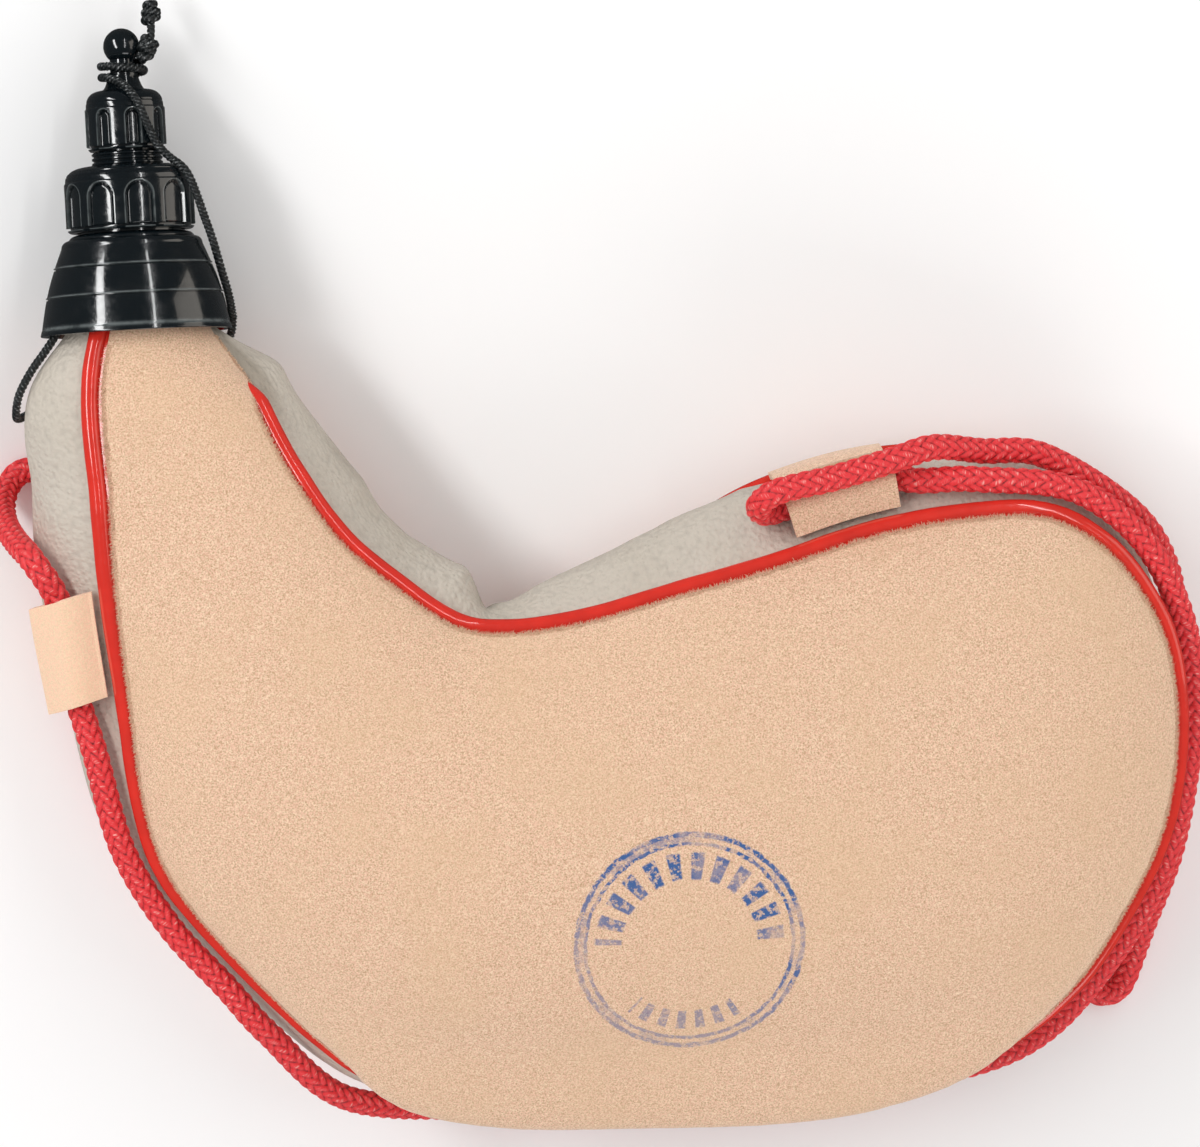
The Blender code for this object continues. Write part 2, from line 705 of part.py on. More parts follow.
def turned(name, profile, kind=None, closed=True, steps=ROUND_STEPS):
    """A turned piece on the neck's axis. Its profile runs down the outer side."""
    vertices = [(radius, 0.0, height) for radius, height in profile]
    edges = [(k, k + 1) for k in range(len(profile) - 1)]
    if closed:
        edges.append((len(profile) - 1, 0))
    obj = mesh_object(name, vertices, (), edges)
    screw = obj.modifiers.new("turn", "SCREW")
    screw.axis = "Z"
    screw.steps = screw.render_steps = steps
    screw.use_merge_vertices = True
    screw.merge_threshold = RUN_CLEARANCE / 30
    screw.use_smooth_shade = True
    if kind:
        return finish(obj, kind, neck_frame)
    return as_cutter(obj, neck_frame)


def arc(centre, radius, first, last, steps=ARC_STEPS):
    """Points of a round corner, by angles in degrees from the outward direction."""
    made = []
    for turn in np.linspace(math.radians(first), math.radians(last), steps + 1):
        made.append((centre[0] + radius * math.cos(turn), centre[1] + radius * math.sin(turn)))
    return made


def make_neck_frame():
    """An empty at the rim's centre, its Z along the nozzle and its X across it."""
    across, up, along = neck_axes()
    frame = bpy.data.objects.new("neck_frame", None)
    frame.matrix_world = Matrix.Translation(Vector(neck_place(0, 0, 0))) @ Matrix(
        (across, -up, along)
    ).transposed().to_4x4()
    parts.objects.link(frame)
    return frame


def base_side():
    """The base's outer side: a barrelled cone with ring grooves, over a lip."""
    top = BASE_HEIGHT - BASE_ROUNDING
    lip_radius = BASE_RIM_RADIUS - BASE_GROOVE
    side = []
    for share in np.linspace(0, 1, 9):
        radius = BASE_SHOULDER_RADIUS + (lip_radius - BASE_SHOULDER_RADIUS) * share
        side.append(
            (radius + BASE_BARREL * math.sin(math.pi * share), top + (BASE_LIP - top) * share)
        )
    grooved = []
    for (r0, z0), (r1, z1) in zip(side, side[1:]):
        grooved.append((r0, z0))
        for share in BASE_RING_SHARES:
            at = BASE_HEIGHT * share
            if z1 < at - BASE_GROOVE and at + BASE_GROOVE < z0:
                for step, depth in ((1, 0), (0, 1), (-1, 0)):
                    z = at + step * BASE_GROOVE
                    r = r0 + (r1 - r0) * (z0 - z) / (z0 - z1)
                    grooved.append((r - depth * BASE_GROOVE, z))
    return [*grooved, side[-1]]


def make_base():
    """The cone that covers the tied neck, with the threaded neck that the collar screws on."""
    top = BASE_HEIGHT + BASE_NECK_HEIGHT
    corner = (BASE_SHOULDER_RADIUS - BASE_ROUNDING, BASE_HEIGHT - BASE_ROUNDING)
    profile = [
        (BASE_NECK_RADIUS, top),
        (BASE_NECK_RADIUS, BASE_HEIGHT),
        *arc(corner, BASE_ROUNDING, 90, 0)[:-1],
        *base_side(),
        (BASE_RIM_RADIUS, BASE_LIP - BASE_GROOVE),
        (BASE_RIM_RADIUS, 0.0),
        (BASE_RIM_RADIUS - BASE_WALL, 0.0),
        (BASE_SHOULDER_RADIUS - BASE_WALL, BASE_HEIGHT - 2 * BASE_WALL),
        (BORE_RADIUS, BASE_HEIGHT - 2 * BASE_WALL),
        (BORE_RADIUS, top),
    ]
    turned("nozzle_base", profile, "plastic")


def make_insert():
    """The tube that leather and liner are tied on, and the band that ties them."""
    top = BASE_HEIGHT - 2 * BASE_WALL - RUN_CLEARANCE
    profile = [
        (INSERT_OUTER_RADIUS, top),
        (INSERT_OUTER_RADIUS, -INSERT_BELOW_RIM),
        (BORE_RADIUS, -INSERT_BELOW_RIM),
        (BORE_RADIUS, top),
    ]
    turned("neck_insert", profile, "plastic")
    inside = NECK_THROAT_RADIUS + 2 * SEAM_CLEARANCE
    band_top = NECK_DEPTH - SEAM_CLEARANCE
    third = NECK_BAND_HEIGHT / 3
    ridges = []
    for k in range(3):
        centre = (inside + NECK_BAND_THICKNESS / 2, band_top - third * (k + 1 / 2))
        ridges += arc(centre, NECK_BAND_THICKNESS / 2, 70, -70, 3)
    profile = [
        (inside, band_top),
        *ridges,
        (inside, band_top - NECK_BAND_HEIGHT),
    ]
    turned("neck_band", profile, "twine")


def flute_cutter(name, count, radius, width, bottom, top):
    """Arched recesses round a cap, with floors that follow its roundness."""
    outline = bpy.data.curves.new(name + "_outline", "CURVE")
    outline.dimensions = "2D"
    outline.fill_mode = "BOTH"
    outline.extrude = CUT_OVERRUN
    half = width / 2
    points = [(-half, bottom), (half, bottom), *arc((0.0, top - half), half, 0, 180, 8)]
    spline = outline.splines.new("POLY")
    spline.points.add(len(points) - 1)
    for point, place in zip(spline.points, points):
        point.co = (*place, 0.0, 1.0)
    spline.use_cyclic_u = True
    guide = bpy.data.objects.new(name + "_outline", outline)
    bpy.context.scene.collection.objects.link(guide)
    bpy.context.view_layer.update()
    graph = bpy.context.evaluated_depsgraph_get()
    arch = bpy.data.meshes.new_from_object(guide.evaluated_get(graph))
    bpy.data.objects.remove(guide, do_unlink=True)
    stand = Matrix.Rotation(math.pi / 2, 4, "X")
    shape = bmesh.new()
    for k in range(count):
        copy = arch.copy()
        spin = Matrix.Rotation(2 * math.pi * (k + 1 / 4) / count, 4, "Z")
        copy.transform(spin @ Matrix.Translation((0.0, -radius, 0.0)) @ stand)
        shape.from_mesh(copy)
        bpy.data.meshes.remove(copy)
    bmesh.ops.remove_doubles(shape, verts=shape.verts, dist=RUN_CLEARANCE / 30)
    bmesh.ops.recalc_face_normals(shape, faces=shape.faces)
    shape.to_mesh(arch)
    shape.free()
    cutter = bpy.data.objects.new(name, arch)
    bpy.context.scene.collection.objects.link(cutter)
    as_cutter(cutter, neck_frame)
    floor = radius - FLUTE_DEPTH
    core = turned(
        name + "_core",
        [
            (0.0, top + CUT_OVERRUN),
            (floor, top + CUT_OVERRUN),
            (floor, bottom - CUT_OVERRUN),
            (0.0, bottom - CUT_OVERRUN),
        ],
        closed=False,
    )
    cut(cutter, core)
    return cutter


def skirt_with_rim(radius, bottom):
    """The lower edge of a fluted skirt: a groove over a plain rim."""
    groove = radius - FLUTE_DEPTH - RUN_CLEARANCE
    return [
        (radius, bottom + FLUTE_RIM),
        (groove, bottom + FLUTE_RIM),
        (groove, bottom + FLUTE_RIM / 2),
        (radius - RUN_CLEARANCE, bottom + FLUTE_RIM / 2),
        (radius - FLUTE_DEPTH, bottom),
    ]


def make_collar():
    """The fluted collar with the spout that stands on it, bored from the neck to the jet."""
    bottom = BASE_HEIGHT + COLLAR_SEAT_GAP
    shoulder = bottom + COLLAR_SKIRT
    dome_top = shoulder + COLLAR_DOME
    flange_top = dome_top + SPOUT_FLANGE_HEIGHT
    tip = flange_top + SPOUT_HEIGHT
    under = BASE_HEIGHT + BASE_NECK_HEIGHT + WASHER_THICKNESS + 2 * RUN_CLEARANCE
    rim = COLLAR_RADIUS - RUN_CLEARANCE
    profile = [
        (SPOUT_JET_RADIUS, tip),
        (SPOUT_RADIUS - RUN_CLEARANCE, tip),
        (SPOUT_RADIUS, tip - RUN_CLEARANCE),
        (SPOUT_RADIUS, flange_top),
    ]
    for share in THREAD_RIDGE_SHARES:
        middle = flange_top - share * SPOUT_FLANGE_HEIGHT
        ridge = SPOUT_FLANGE_HEIGHT / 10
        profile += [
            (SPOUT_FLANGE_RADIUS - RUN_CLEARANCE, middle + ridge),
            (SPOUT_FLANGE_RADIUS, middle),
            (SPOUT_FLANGE_RADIUS - RUN_CLEARANCE, middle - ridge),
        ]
    for share in np.linspace(0, 1, ARC_STEPS + 1):
        turn = math.pi / 2 * share
        out = SPOUT_FLANGE_RADIUS + (rim - SPOUT_FLANGE_RADIUS) * math.sin(turn)
        profile.append((out, shoulder + RUN_CLEARANCE + (COLLAR_DOME - RUN_CLEARANCE) * math.cos(turn)))
    profile += [
        (COLLAR_RADIUS, shoulder),
        *skirt_with_rim(COLLAR_RADIUS, bottom),
        (BASE_NECK_RADIUS + THREAD_PLAY, bottom),
        (BASE_NECK_RADIUS + THREAD_PLAY, under),
        (SPOUT_BORE_RADIUS, under),
        (SPOUT_BORE_RADIUS, tip - SPOUT_TIP_WALL),
        (SPOUT_JET_RADIUS, tip - SPOUT_TIP_WALL),
    ]
    collar = turned("spout_collar", profile, "plastic")
    cutter = flute_cutter(
        "collar_flutes",
        COLLAR_FLUTES,
        COLLAR_RADIUS,
        COLLAR_FLUTE_WIDTH,
        bottom + FLUTE_RIM / 2,
        shoulder - RUN_CLEARANCE,
    )
    cut(collar, cutter)
    washer_bottom = BASE_HEIGHT + BASE_NECK_HEIGHT + RUN_CLEARANCE
    make_washer("collar_washer", BORE_RADIUS + RUN_CLEARANCE, BASE_NECK_RADIUS, washer_bottom)
    return flange_top, tip


def make_washer(name, inner, outer, bottom):
    top = bottom + WASHER_THICKNESS
    profile = [(outer, top), (outer, bottom), (inner, bottom), (inner, top)]
    turned(name, profile, "rubber", steps=ROUND_STEPS // 2)


def make_cap(flange_top, tip):
    """The stopper cap: fluted skirt, dome, flared neck, groove for the string, and ball."""
    bottom = flange_top + RUN_CLEARANCE
    shoulder = bottom + CAP_SKIRT
    dome_top = shoulder + CAP_DOME
    groove_bottom = dome_top + KNOB_NECK_HEIGHT
    ball_bottom = groove_bottom + KNOB_GROOVE_HEIGHT
    under = tip + WASHER_THICKNESS + 2 * RUN_CLEARANCE
    meet = math.degrees(math.asin(KNOB_GROOVE_RADIUS / KNOB_BALL_RADIUS))
    ball_centre = ball_bottom + KNOB_BALL_RADIUS * math.cos(math.radians(meet))
    rim = CAP_RADIUS - RUN_CLEARANCE
    profile = [
        *arc((0.0, ball_centre), KNOB_BALL_RADIUS, 90, meet - 90, 10),
        (KNOB_GROOVE_RADIUS, groove_bottom + RUN_CLEARANCE),
        (KNOB_NECK_RADIUS, groove_bottom),
        (KNOB_NECK_RADIUS, groove_bottom - KNOB_NECK_HEIGHT / 4),
        ((KNOB_NECK_RADIUS + KNOB_FLARE_RADIUS) / 2, dome_top + KNOB_NECK_HEIGHT / 4),
        (KNOB_FLARE_RADIUS, dome_top),
    ]
    for share in np.linspace(0, 1, ARC_STEPS + 1)[1:]:
        turn = math.pi / 2 * share
        out = KNOB_FLARE_RADIUS + (rim - KNOB_FLARE_RADIUS) * math.sin(turn)
        profile.append((out, shoulder + RUN_CLEARANCE + (CAP_DOME - RUN_CLEARANCE) * math.cos(turn)))
    profile += [
        (CAP_RADIUS, shoulder),
        *skirt_with_rim(CAP_RADIUS, bottom),
        (SPOUT_RADIUS + THREAD_PLAY, bottom),
        (SPOUT_RADIUS + THREAD_PLAY, under),
        (0.0, under),
    ]
    cap = turned("stopper_cap", profile, "plastic", closed=False)
    cutter = flute_cutter(
        "cap_flutes",
        CAP_FLUTES,
        CAP_RADIUS,
        CAP_FLUTE_WIDTH,
        bottom + FLUTE_RIM / 2,
        shoulder - RUN_CLEARANCE,
    )
    cut(cap, cutter)
    make_washer("cap_washer", 2 * SPOUT_JET_RADIUS, SPOUT_RADIUS, tip + RUN_CLEARANCE)
    return groove_bottom


# Cords


def make_shoulder_cord(gusset):
    """One loop through both keepers. Its ends meet in a knot under the bag's lower side."""
    route = []
    for kind, first, second, radii in CORD_ROUTE_SHARES:
        if kind == "gusset":
            route.append(gusset.place(first, second, radii * CORD_RADIUS))
        else:
            route.append((*plan(first, second), radii * CORD_RADIUS))
    line = smooth_curve(route, CURVE_STEPS)
    ends = CORD_RADIUS + CORD_CLEARANCE
    points = spaced_by_bends(line, CORD_POINTS, ends, ends, BEND_SHARE * CORD_RADIUS)
    tube("shoulder_cord", points, CORD_RADIUS, "braid")
    knot = np.linspace(line[-1], line[0], KNOT_POINTS)
    swell = 1 + KNOT_SWELL * np.sin(np.linspace(0, math.pi, KNOT_POINTS)) ** 2
    tube("shoulder_cord_knot", knot, CORD_RADIUS, "braid", swell=swell)
    return distances(line)[-1]


def local_place(shares):
    """A point given across, up and along the nozzle, in the neck's own frame."""
    across, up, along = (share * BASE_RIM_RADIUS / RIM_SHARE for share in shares[:3])
    return np.array((across, -up, along))


def make_string(groove_bottom):
    """The cord that keeps the stopper: winding, knot, and the run down to the neck."""
    reach = KNOB_NECK_RADIUS + STRING_RADIUS + 1.5 * RUN_CLEARANCE
    start = groove_bottom - STRING_RADIUS
    winding = []
    for k in range(round(STRING_TURNS * TURN_POINTS) + 1):
        turns = k / TURN_POINTS
        angle = -STRING_START - 2 * math.pi * turns
        winding.append((reach * math.cos(angle), reach * math.sin(angle), start + STRING_PITCH * turns))
    winding = np.array(winding)
    tube("stopper_cord_loop", winding, STRING_RADIUS, "string", 1, neck_frame)
    gap = RUN_CLEARANCE / 2
    lengths = [distances(winding)[-1]]
    runs = (
        ("stopper_cord_upper", [winding[0], *map(local_place, STRING_UPPER_SHARES)]),
        ("stopper_cord_lower", list(map(local_place, STRING_LOWER_SHARES))),
        ("stopper_cord_neck", list(map(local_place, STRING_NECK_SHARES))),
    )
    for name, places in runs:
        line = smooth_curve(places, CURVE_STEPS)
        first = 2 * gap if places[0] is winding[0] else gap
        count = max(6, round(distances(line)[-1] / (STRING_RADIUS * STRING_POINT_STEP)))
        tube(name, spaced(line, count, first, gap), STRING_RADIUS, "string", 1, neck_frame)
        lengths.append(distances(line)[-1])
    knot = smooth_curve([(*local_place(p), p[3]) for p in STRING_KNOT_SHARES], 3)
    tube("stopper_cord_knot", knot[:, :3], STRING_RADIUS, "string", 1, neck_frame, knot[:, 3])
    lengths.append(distances(knot[:, :3])[-1])
    return winding, sum(lengths)


def least_gap(line, radius, turn_points):
    """How near a wound tube comes to itself, measured between points at least half a turn apart."""
    apart = np.linalg.norm(line[:, None] - line[None], axis=2)
    far = np.abs(np.subtract.outer(np.arange(len(line)), np.arange(len(line)))) > turn_points / 2
    return apart[far].min() - 2 * radius


clear_scene()
parts = new_collection("bota_bag")
cutters = new_collection("cutters")
neck_frame = make_neck_frame()
chain = make_chain()
make_skin(chain)
make_liner(chain)
make_pipings(chain)
gusset = Gusset(chain)
make_keeper("left_keeper", gusset, *LEFT_KEEPER_SHARES)
make_keeper("right_keeper", gusset, *RIGHT_KEEPER_SHARES)
make_base()
make_insert()
flange_top, tip = make_collar()
groove_bottom = make_cap(flange_top, tip)
cord_length = make_shoulder_cord(gusset)
winding, string_length = make_string(groove_bottom)
print("least gap of the winding to itself, mm:", 1000 * least_gap(winding, STRING_RADIUS, TURN_POINTS))
print("shoulder cord and retaining cord, mm:", 1000 * cord_length, 1000 * string_length)
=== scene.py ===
"""The looks of a two litre leather drinking bag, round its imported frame. Metres, +Z up.

The skin, the gusset's places, the cords' routes and the nozzle's profiles follow the same
sizes and tables as the part's source, with more points.
"""

import math

import bmesh
import bpy
import numpy as np
from mathutils import Matrix, Vector


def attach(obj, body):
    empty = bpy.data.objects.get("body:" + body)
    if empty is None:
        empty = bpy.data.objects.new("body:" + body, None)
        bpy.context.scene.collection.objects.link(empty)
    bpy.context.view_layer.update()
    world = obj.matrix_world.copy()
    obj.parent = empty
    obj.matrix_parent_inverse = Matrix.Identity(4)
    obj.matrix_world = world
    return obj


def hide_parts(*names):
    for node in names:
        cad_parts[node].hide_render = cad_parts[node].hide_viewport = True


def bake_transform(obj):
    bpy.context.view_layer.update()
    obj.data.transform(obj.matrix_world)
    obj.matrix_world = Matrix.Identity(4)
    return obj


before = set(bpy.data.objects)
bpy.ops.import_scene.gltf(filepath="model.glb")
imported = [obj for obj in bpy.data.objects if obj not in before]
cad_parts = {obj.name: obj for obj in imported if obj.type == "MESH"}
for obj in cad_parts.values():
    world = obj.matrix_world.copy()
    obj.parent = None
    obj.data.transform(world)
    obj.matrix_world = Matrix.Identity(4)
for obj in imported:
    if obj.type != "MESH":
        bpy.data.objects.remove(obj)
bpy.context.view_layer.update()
chance = np.random.default_rng(11)

# Bag
BAG_WIDTH = 0.257
BAG_LENGTH = 0.185
FRONT_SEAM_HEIGHT = 0.050
BACK_SEAM_HEIGHT = 0.012
CROWN_HEIGHT = 0.075
BACK_REACH = 0.014
GUSSET_BULGE = 0.0125
BELLY_OVERHANG = 0.010
PANEL_LEATHER = 0.0018
GUSSET_SHEET = 0.0014
PIPING_RADIUS = 0.0021
SEAM_CLEARANCE = 0.0006
LINER_INSET = 0.0030
LINER_WALL = 0.0008

# Neck of the bag
NECK_HEIGHT = 0.025
NECK_LEAN = math.radians(3.2)
NECK_DROOP = math.radians(10.5)
NECK_THROAT_RADIUS = 0.0143
NECK_MOUTH_RADIUS = 0.0176
NECK_MOUTH_OFFSET = 0.0006
NECK_DEPTH = 0.013
NECK_BLEND = 0.030
NECK_BAND_HEIGHT = 0.0042
TWINE_RADIUS = 0.0006

# Nozzle
BORE_RADIUS = 0.0080
BASE_HEIGHT = 0.0222
BASE_RIM_RADIUS = 0.0225
BASE_SHOULDER_RADIUS = 0.0166
BASE_ROUNDING = 0.0018
BASE_WALL = 0.0011
BASE_LIP = 0.0016
BASE_BARREL = 0.0007
BASE_GROOVE = 0.0004
BASE_NECK_RADIUS = 0.0119
BASE_NECK_HEIGHT = 0.0098
BASE_PITCH = 0.003
COLLAR_SEAT_GAP = 0.0018
COLLAR_RADIUS = 0.0152
COLLAR_SKIRT = 0.0114
COLLAR_DOME = 0.0040
COLLAR_FLUTES = 10
COLLAR_FLUTE_WIDTH = 0.0068
FLUTE_DEPTH = 0.0008
FLUTE_RIM = 0.0011
FLUTE_SLOPE = 0.00020
THREAD_PLAY = 0.0009
THREAD_DEPTH = 0.0006
SPOUT_FLANGE_RADIUS = 0.0083
SPOUT_FLANGE_HEIGHT = 0.0032
SPOUT_RADIUS = 0.0066
SPOUT_HEIGHT = 0.0098
SPOUT_BORE_RADIUS = 0.0034
SPOUT_JET_RADIUS = 0.0009
SPOUT_TIP_WALL = 0.0018
SPOUT_PITCH = 0.002
CAP_RADIUS = 0.0094
CAP_SKIRT = 0.0098
CAP_DOME = 0.0044
CAP_FLUTES = 8
CAP_FLUTE_WIDTH = 0.0037
KNOB_FLARE_RADIUS = 0.0050
KNOB_NECK_RADIUS = 0.0036
KNOB_NECK_HEIGHT = 0.0040
KNOB_GROOVE_RADIUS = 0.0029
KNOB_GROOVE_HEIGHT = 0.0032
KNOB_BALL_RADIUS = 0.00425
WASHER_THICKNESS = 0.0009
RUN_CLEARANCE = 0.0003
CORNER = 0.0003  # moulded corners

# Keepers and cords
KEEPER_WIDTH = 0.025
KEEPER_LEATHER = 0.0018
CORD_RADIUS = 0.003
CORD_CLEARANCE = 0.0006
STRING_RADIUS = 0.00095
STRING_PITCH = 0.0026
STRING_TURNS = 1.56
STRING_START = math.radians(160)

# Shares, as in the part's source
ORIGIN_SHARE = (0.4755, 0.6623)
NECK_SHARE = (0.0416, 0.975)
OUTLINE_SHARES = (
    (0.000, 1.000, 0.84, 0.20, 0.36),
    (0.002, 0.891, 0.92, 0.50, 0.75),
    (0.006, 0.789, 0.98, 0.60, 0.90),
    (0.015, 0.661, 1.00, 0.62, 0.90),
    (0.030, 0.526, 1.00, 0.55, 0.80),
    (0.045, 0.392, 1.00, 0.45, 0.68),
    (0.068, 0.300, 1.00, 0.30, 0.58),
    (0.122, 0.207, 1.00, 0.15, 0.54),
    (0.205, 0.092, 0.98, 0.05, 0.54),
    (0.271, 0.030, 0.94, -0.05, 0.54),
    (0.372, 0.004, 0.90, -0.10, 0.54),
    (0.501, 0.000, 0.88, -0.15, 0.54),
    (0.631, 0.003, 0.88, -0.15, 0.54),
    (0.741, 0.022, 0.90, -0.15, 0.50),
    (0.837, 0.068, 0.94, -0.15, 0.43),
    (0.907, 0.148, 0.98, -0.20, 0.24),
    (0.954, 0.248, 1.00, -0.25, 0.14),
    (0.989, 0.359, 1.00, -0.28, 0.11),
    (1.000, 0.481, 1.00, -0.25, 0.11),
    (0.990, 0.594, 1.00, -0.10, 0.14),
    (0.962, 0.674, 1.00, 0.10, 0.24),
    (0.921, 0.737, 1.00, 0.30, 0.36),
    (0.865, 0.773, 1.00, 0.50, 0.48),
    (0.784, 0.768, 1.00, 0.62, 0.50),
    (0.704, 0.745, 1.00, 0.75, 0.50),
    (0.620, 0.705, 1.00, 0.72, 0.56),
    (0.535, 0.670, 1.00, 0.28, 0.92),
    (0.451, 0.635, 1.00, -0.08, 0.84),
    (0.381, 0.620, 1.00, -0.34, 0.58),
    (0.332, 0.629, 1.00, -0.30, 0.55),
    (0.279, 0.678, 1.00, 0.10, 0.55),
    (0.227, 0.739, 0.98, 0.35, 0.50),
    (0.182, 0.825, 0.90, 0.15, 0.64),
    (0.149, 0.910, 0.78, 0.00, 0.60),
    (0.118, 1.000, 0.62, -0.10, 0.40),
)
OUTER_LAST = 14
INNER_FIRST = 24
CROWN_SHARES = ((0.0, 0.60), (0.15, 0.72), (0.35, 0.90), (0.60, 1.0), (1.0, 0.96))
ROW_CROWDING = 1.5
FLAT_SHARE = 0.45
CROWN_POWER = 0.64
BELLY_POWER = 6
LEFT_SEAM_ANGLES = (math.radians(123), math.radians(220))
RIGHT_SEAM_ANGLES = (math.radians(18), math.radians(-40))
NECK_RING_SHARES = ((1.0, 0.0), (0.5, 0.2), (0.0, 1.0))
NECK_FLARE_SHARES = (0.45, 0.6, 0.3)
NECK_SWELL_SHARES = (0.35, 0.6)
BASE_RING_SHARES = (0.39, 0.70)
THREAD_RIDGE_SHARES = (0.15, 0.5, 0.85)
LEFT_KEEPER_SHARES = (0.115, 0.25, 0.013)
RIGHT_KEEPER_SHARES = (0.738, 0.25, 0.0)
KEEPER_ARCH_SHARE = 0.22
KEEPER_TOP_SHARE = 1.6
KEEPER_EDGE_SHARE = 0.04
CORD_ROUTE_SHARES = (
    ("clear", 0.375, -0.020, 2.1),
    ("clear", 0.340, -0.014, 1.6),
    ("clear", 0.300, -0.004, 1.1),
    ("clear", 0.245, 0.027, 1.1),
    ("clear", 0.177, 0.091, 1.1),
    ("clear", 0.118, 0.159, 1.1),
    ("clear", 0.066, 0.238, 1.1),
    ("clear", 0.022, 0.335, 1.1),
    ("clear", 0.004, 0.445, 1.1),
    ("clear", -0.012, 0.547, 1.1),
    ("clear", -0.022, 0.653, 1.1),
    ("clear", -0.030, 0.728, 1.1),
    ("clear", -0.036, 0.758, 1.1),
    ("clear", -0.049, 0.777, 1.1),
    ("clear", -0.065, 0.776, 1.2),
    ("clear", -0.077, 0.757, 1.7),
    ("clear", -0.081, 0.736, 3.6),
    ("clear", -0.077, 0.722, 7.0),
    ("clear", -0.068, 0.712, 10.6),
    ("gusset", 0.087, 0.34, 2.2),
    ("gusset", 0.099, 0.26, 1.35),
    ("gusset", 0.115, 0.25, 1.4),
    ("gusset", 0.130, 0.24, 1.4),
    ("gusset", 0.146, 0.17, 1.5),
    ("gusset", 0.175, 0.12, 1.5),
    ("gusset", 0.200, 0.12, 1.5),
    ("gusset", 0.225, 0.13, 1.5),
    ("gusset", 0.245, 0.18, 1.6),
    ("gusset", 0.275, 0.36, 1.6),
    ("gusset", 0.310, 0.65, 1.6),
    ("gusset", 0.350, 0.75, 1.5),
    ("gusset", 0.400, 0.75, 1.5),
    ("gusset", 0.440, 0.70, 1.6),
    ("gusset", 0.478, 0.52, 1.6),
    ("gusset", 0.510, 0.36, 1.6),
    ("gusset", 0.550, 0.25, 1.5),
    ("gusset", 0.600, 0.21, 1.5),
    ("gusset", 0.640, 0.15, 1.55),
    ("gusset", 0.670, 0.12, 1.6),
    ("gusset", 0.698, 0.12, 1.75),
    ("gusset", 0.714, 0.18, 1.5),
    ("gusset", 0.7235, 0.25, 1.4),
    ("gusset", 0.738, 0.27, 1.4),
    ("gusset", 0.7475, 0.27, 1.4),
    ("gusset", 0.756, 0.26, 1.42),
    ("gusset", 0.7612, 0.235, 1.97),
    ("gusset", 0.7633, 0.20, 3.28),
    ("gusset", 0.7612, 0.17, 4.6),
    ("gusset", 0.756, 0.16, 5.15),
    ("gusset", 0.748, 0.15, 5.05),
    ("gusset", 0.738, 0.145, 4.7),
    ("gusset", 0.722, 0.165, 4.65),
    ("gusset", 0.710, 0.235, 4.1),
    ("gusset", 0.696, 0.29, 2.4),
    ("gusset", 0.680, 0.32, 1.75),
    ("gusset", 0.655, 0.34, 1.5),
    ("gusset", 0.635, 0.44, 1.5),
    ("clear", 1.012, 0.573, 7.0),
    ("clear", 1.027, 0.490, 5.4),
    ("clear", 1.031, 0.408, 5.0),
    ("clear", 1.020, 0.285, 4.0),
    ("clear", 0.999, 0.180, 2.5),
    ("clear", 0.991, 0.135, 1.6),
    ("clear", 0.9845, 0.103, 1.2),
    ("clear", 0.9775, 0.086, 1.1),
    ("clear", 0.965, 0.079, 1.1),
    ("clear", 0.952, 0.086, 1.1),
    ("clear", 0.944, 0.103, 1.1),
    ("clear", 0.934, 0.120, 1.1),
    ("clear", 0.917, 0.126, 1.1),
    ("clear", 0.893, 0.112, 1.1),
    ("clear", 0.852, 0.068, 1.1),
    ("clear", 0.790, 0.022, 1.1),
    ("clear", 0.720, -0.008, 1.1),
    ("clear", 0.640, -0.024, 1.1),
    ("clear", 0.550, -0.030, 1.1),
    ("clear", 0.500, -0.030, 1.5),
    ("clear", 0.465, -0.028, 2.1),
)
RIM_SHARE = 22.5
STRING_UPPER_SHARES = (
    (-3.7, 4.6, 59.8),
    (-1.3, 7.0, 58.8),
    (1.2, 9.4, 56.4),
    (3.2, 10.5, 53.2),
    (5.0, 9.8, 48.5),
    (7.2, 8.3, 43.5),
    (9.9, 8.3, 40.4),
    (12.7, 8.9, 38.0),
    (14.4, 8.7, 35.2),
    (15.9, 6.6, 31.0),
    (17.2, 4.6, 26.6),
)
STRING_LOWER_SHARES = (
    (17.2, 4.6, 26.6),
    (18.9, 3.2, 21.0),
    (20.6, 1.2, 14.0),
    (22.1, -2.0, 8.0),
    (22.9, -7.4, 3.0),
)
STRING_NECK_SHARES = (
    (22.9, -7.4, 3.0),
    (21.9, -12.0, -1.5),
    (17.0, -19.0, -5.0),
    (9.0, -24.0, -7.5),
    (0.0, -25.2, -8.5),
    (-9.0, -24.4, -9.5),
    (-18.0, -20.8, -12.0),
    (-25.0, -13.5, -16.5),
    (-28.6, -5.5, -18.5),
    (-29.2, -0.5, -17.5),
    (-28.2, 2.5, -13.2),
    (-25.2, 3.6, -8.0),
    (-21.3, 4.1, -3.0),
    (-19.2, 4.2, 0.0),
    (-18.1, 4.2, 3.0),
    (-17.2, 4.0, 6.5),
)
STRING_KNOT_SHARES = (
    (5.1, 0.5, 64.4, 1.0),
    (5.3, 1.8, 65.4, 1.2),
    (6.4, 1.8, 67.3, 1.9),
    (7.0, 1.4, 69.3, 1.2),
    (7.2, 1.0, 72.0, 1.0),
    (7.3, 0.9, 74.6, 1.7),
    (7.7, 0.7, 76.1, 1.1),
    (8.7, 0.3, 77.8, 0.8),
)

# Counts
SIDE_STATIONS = 150
LOBE_STATIONS = 76
SECTION_POINTS = 49
CURVE_STEPS = 8


# Curves through points


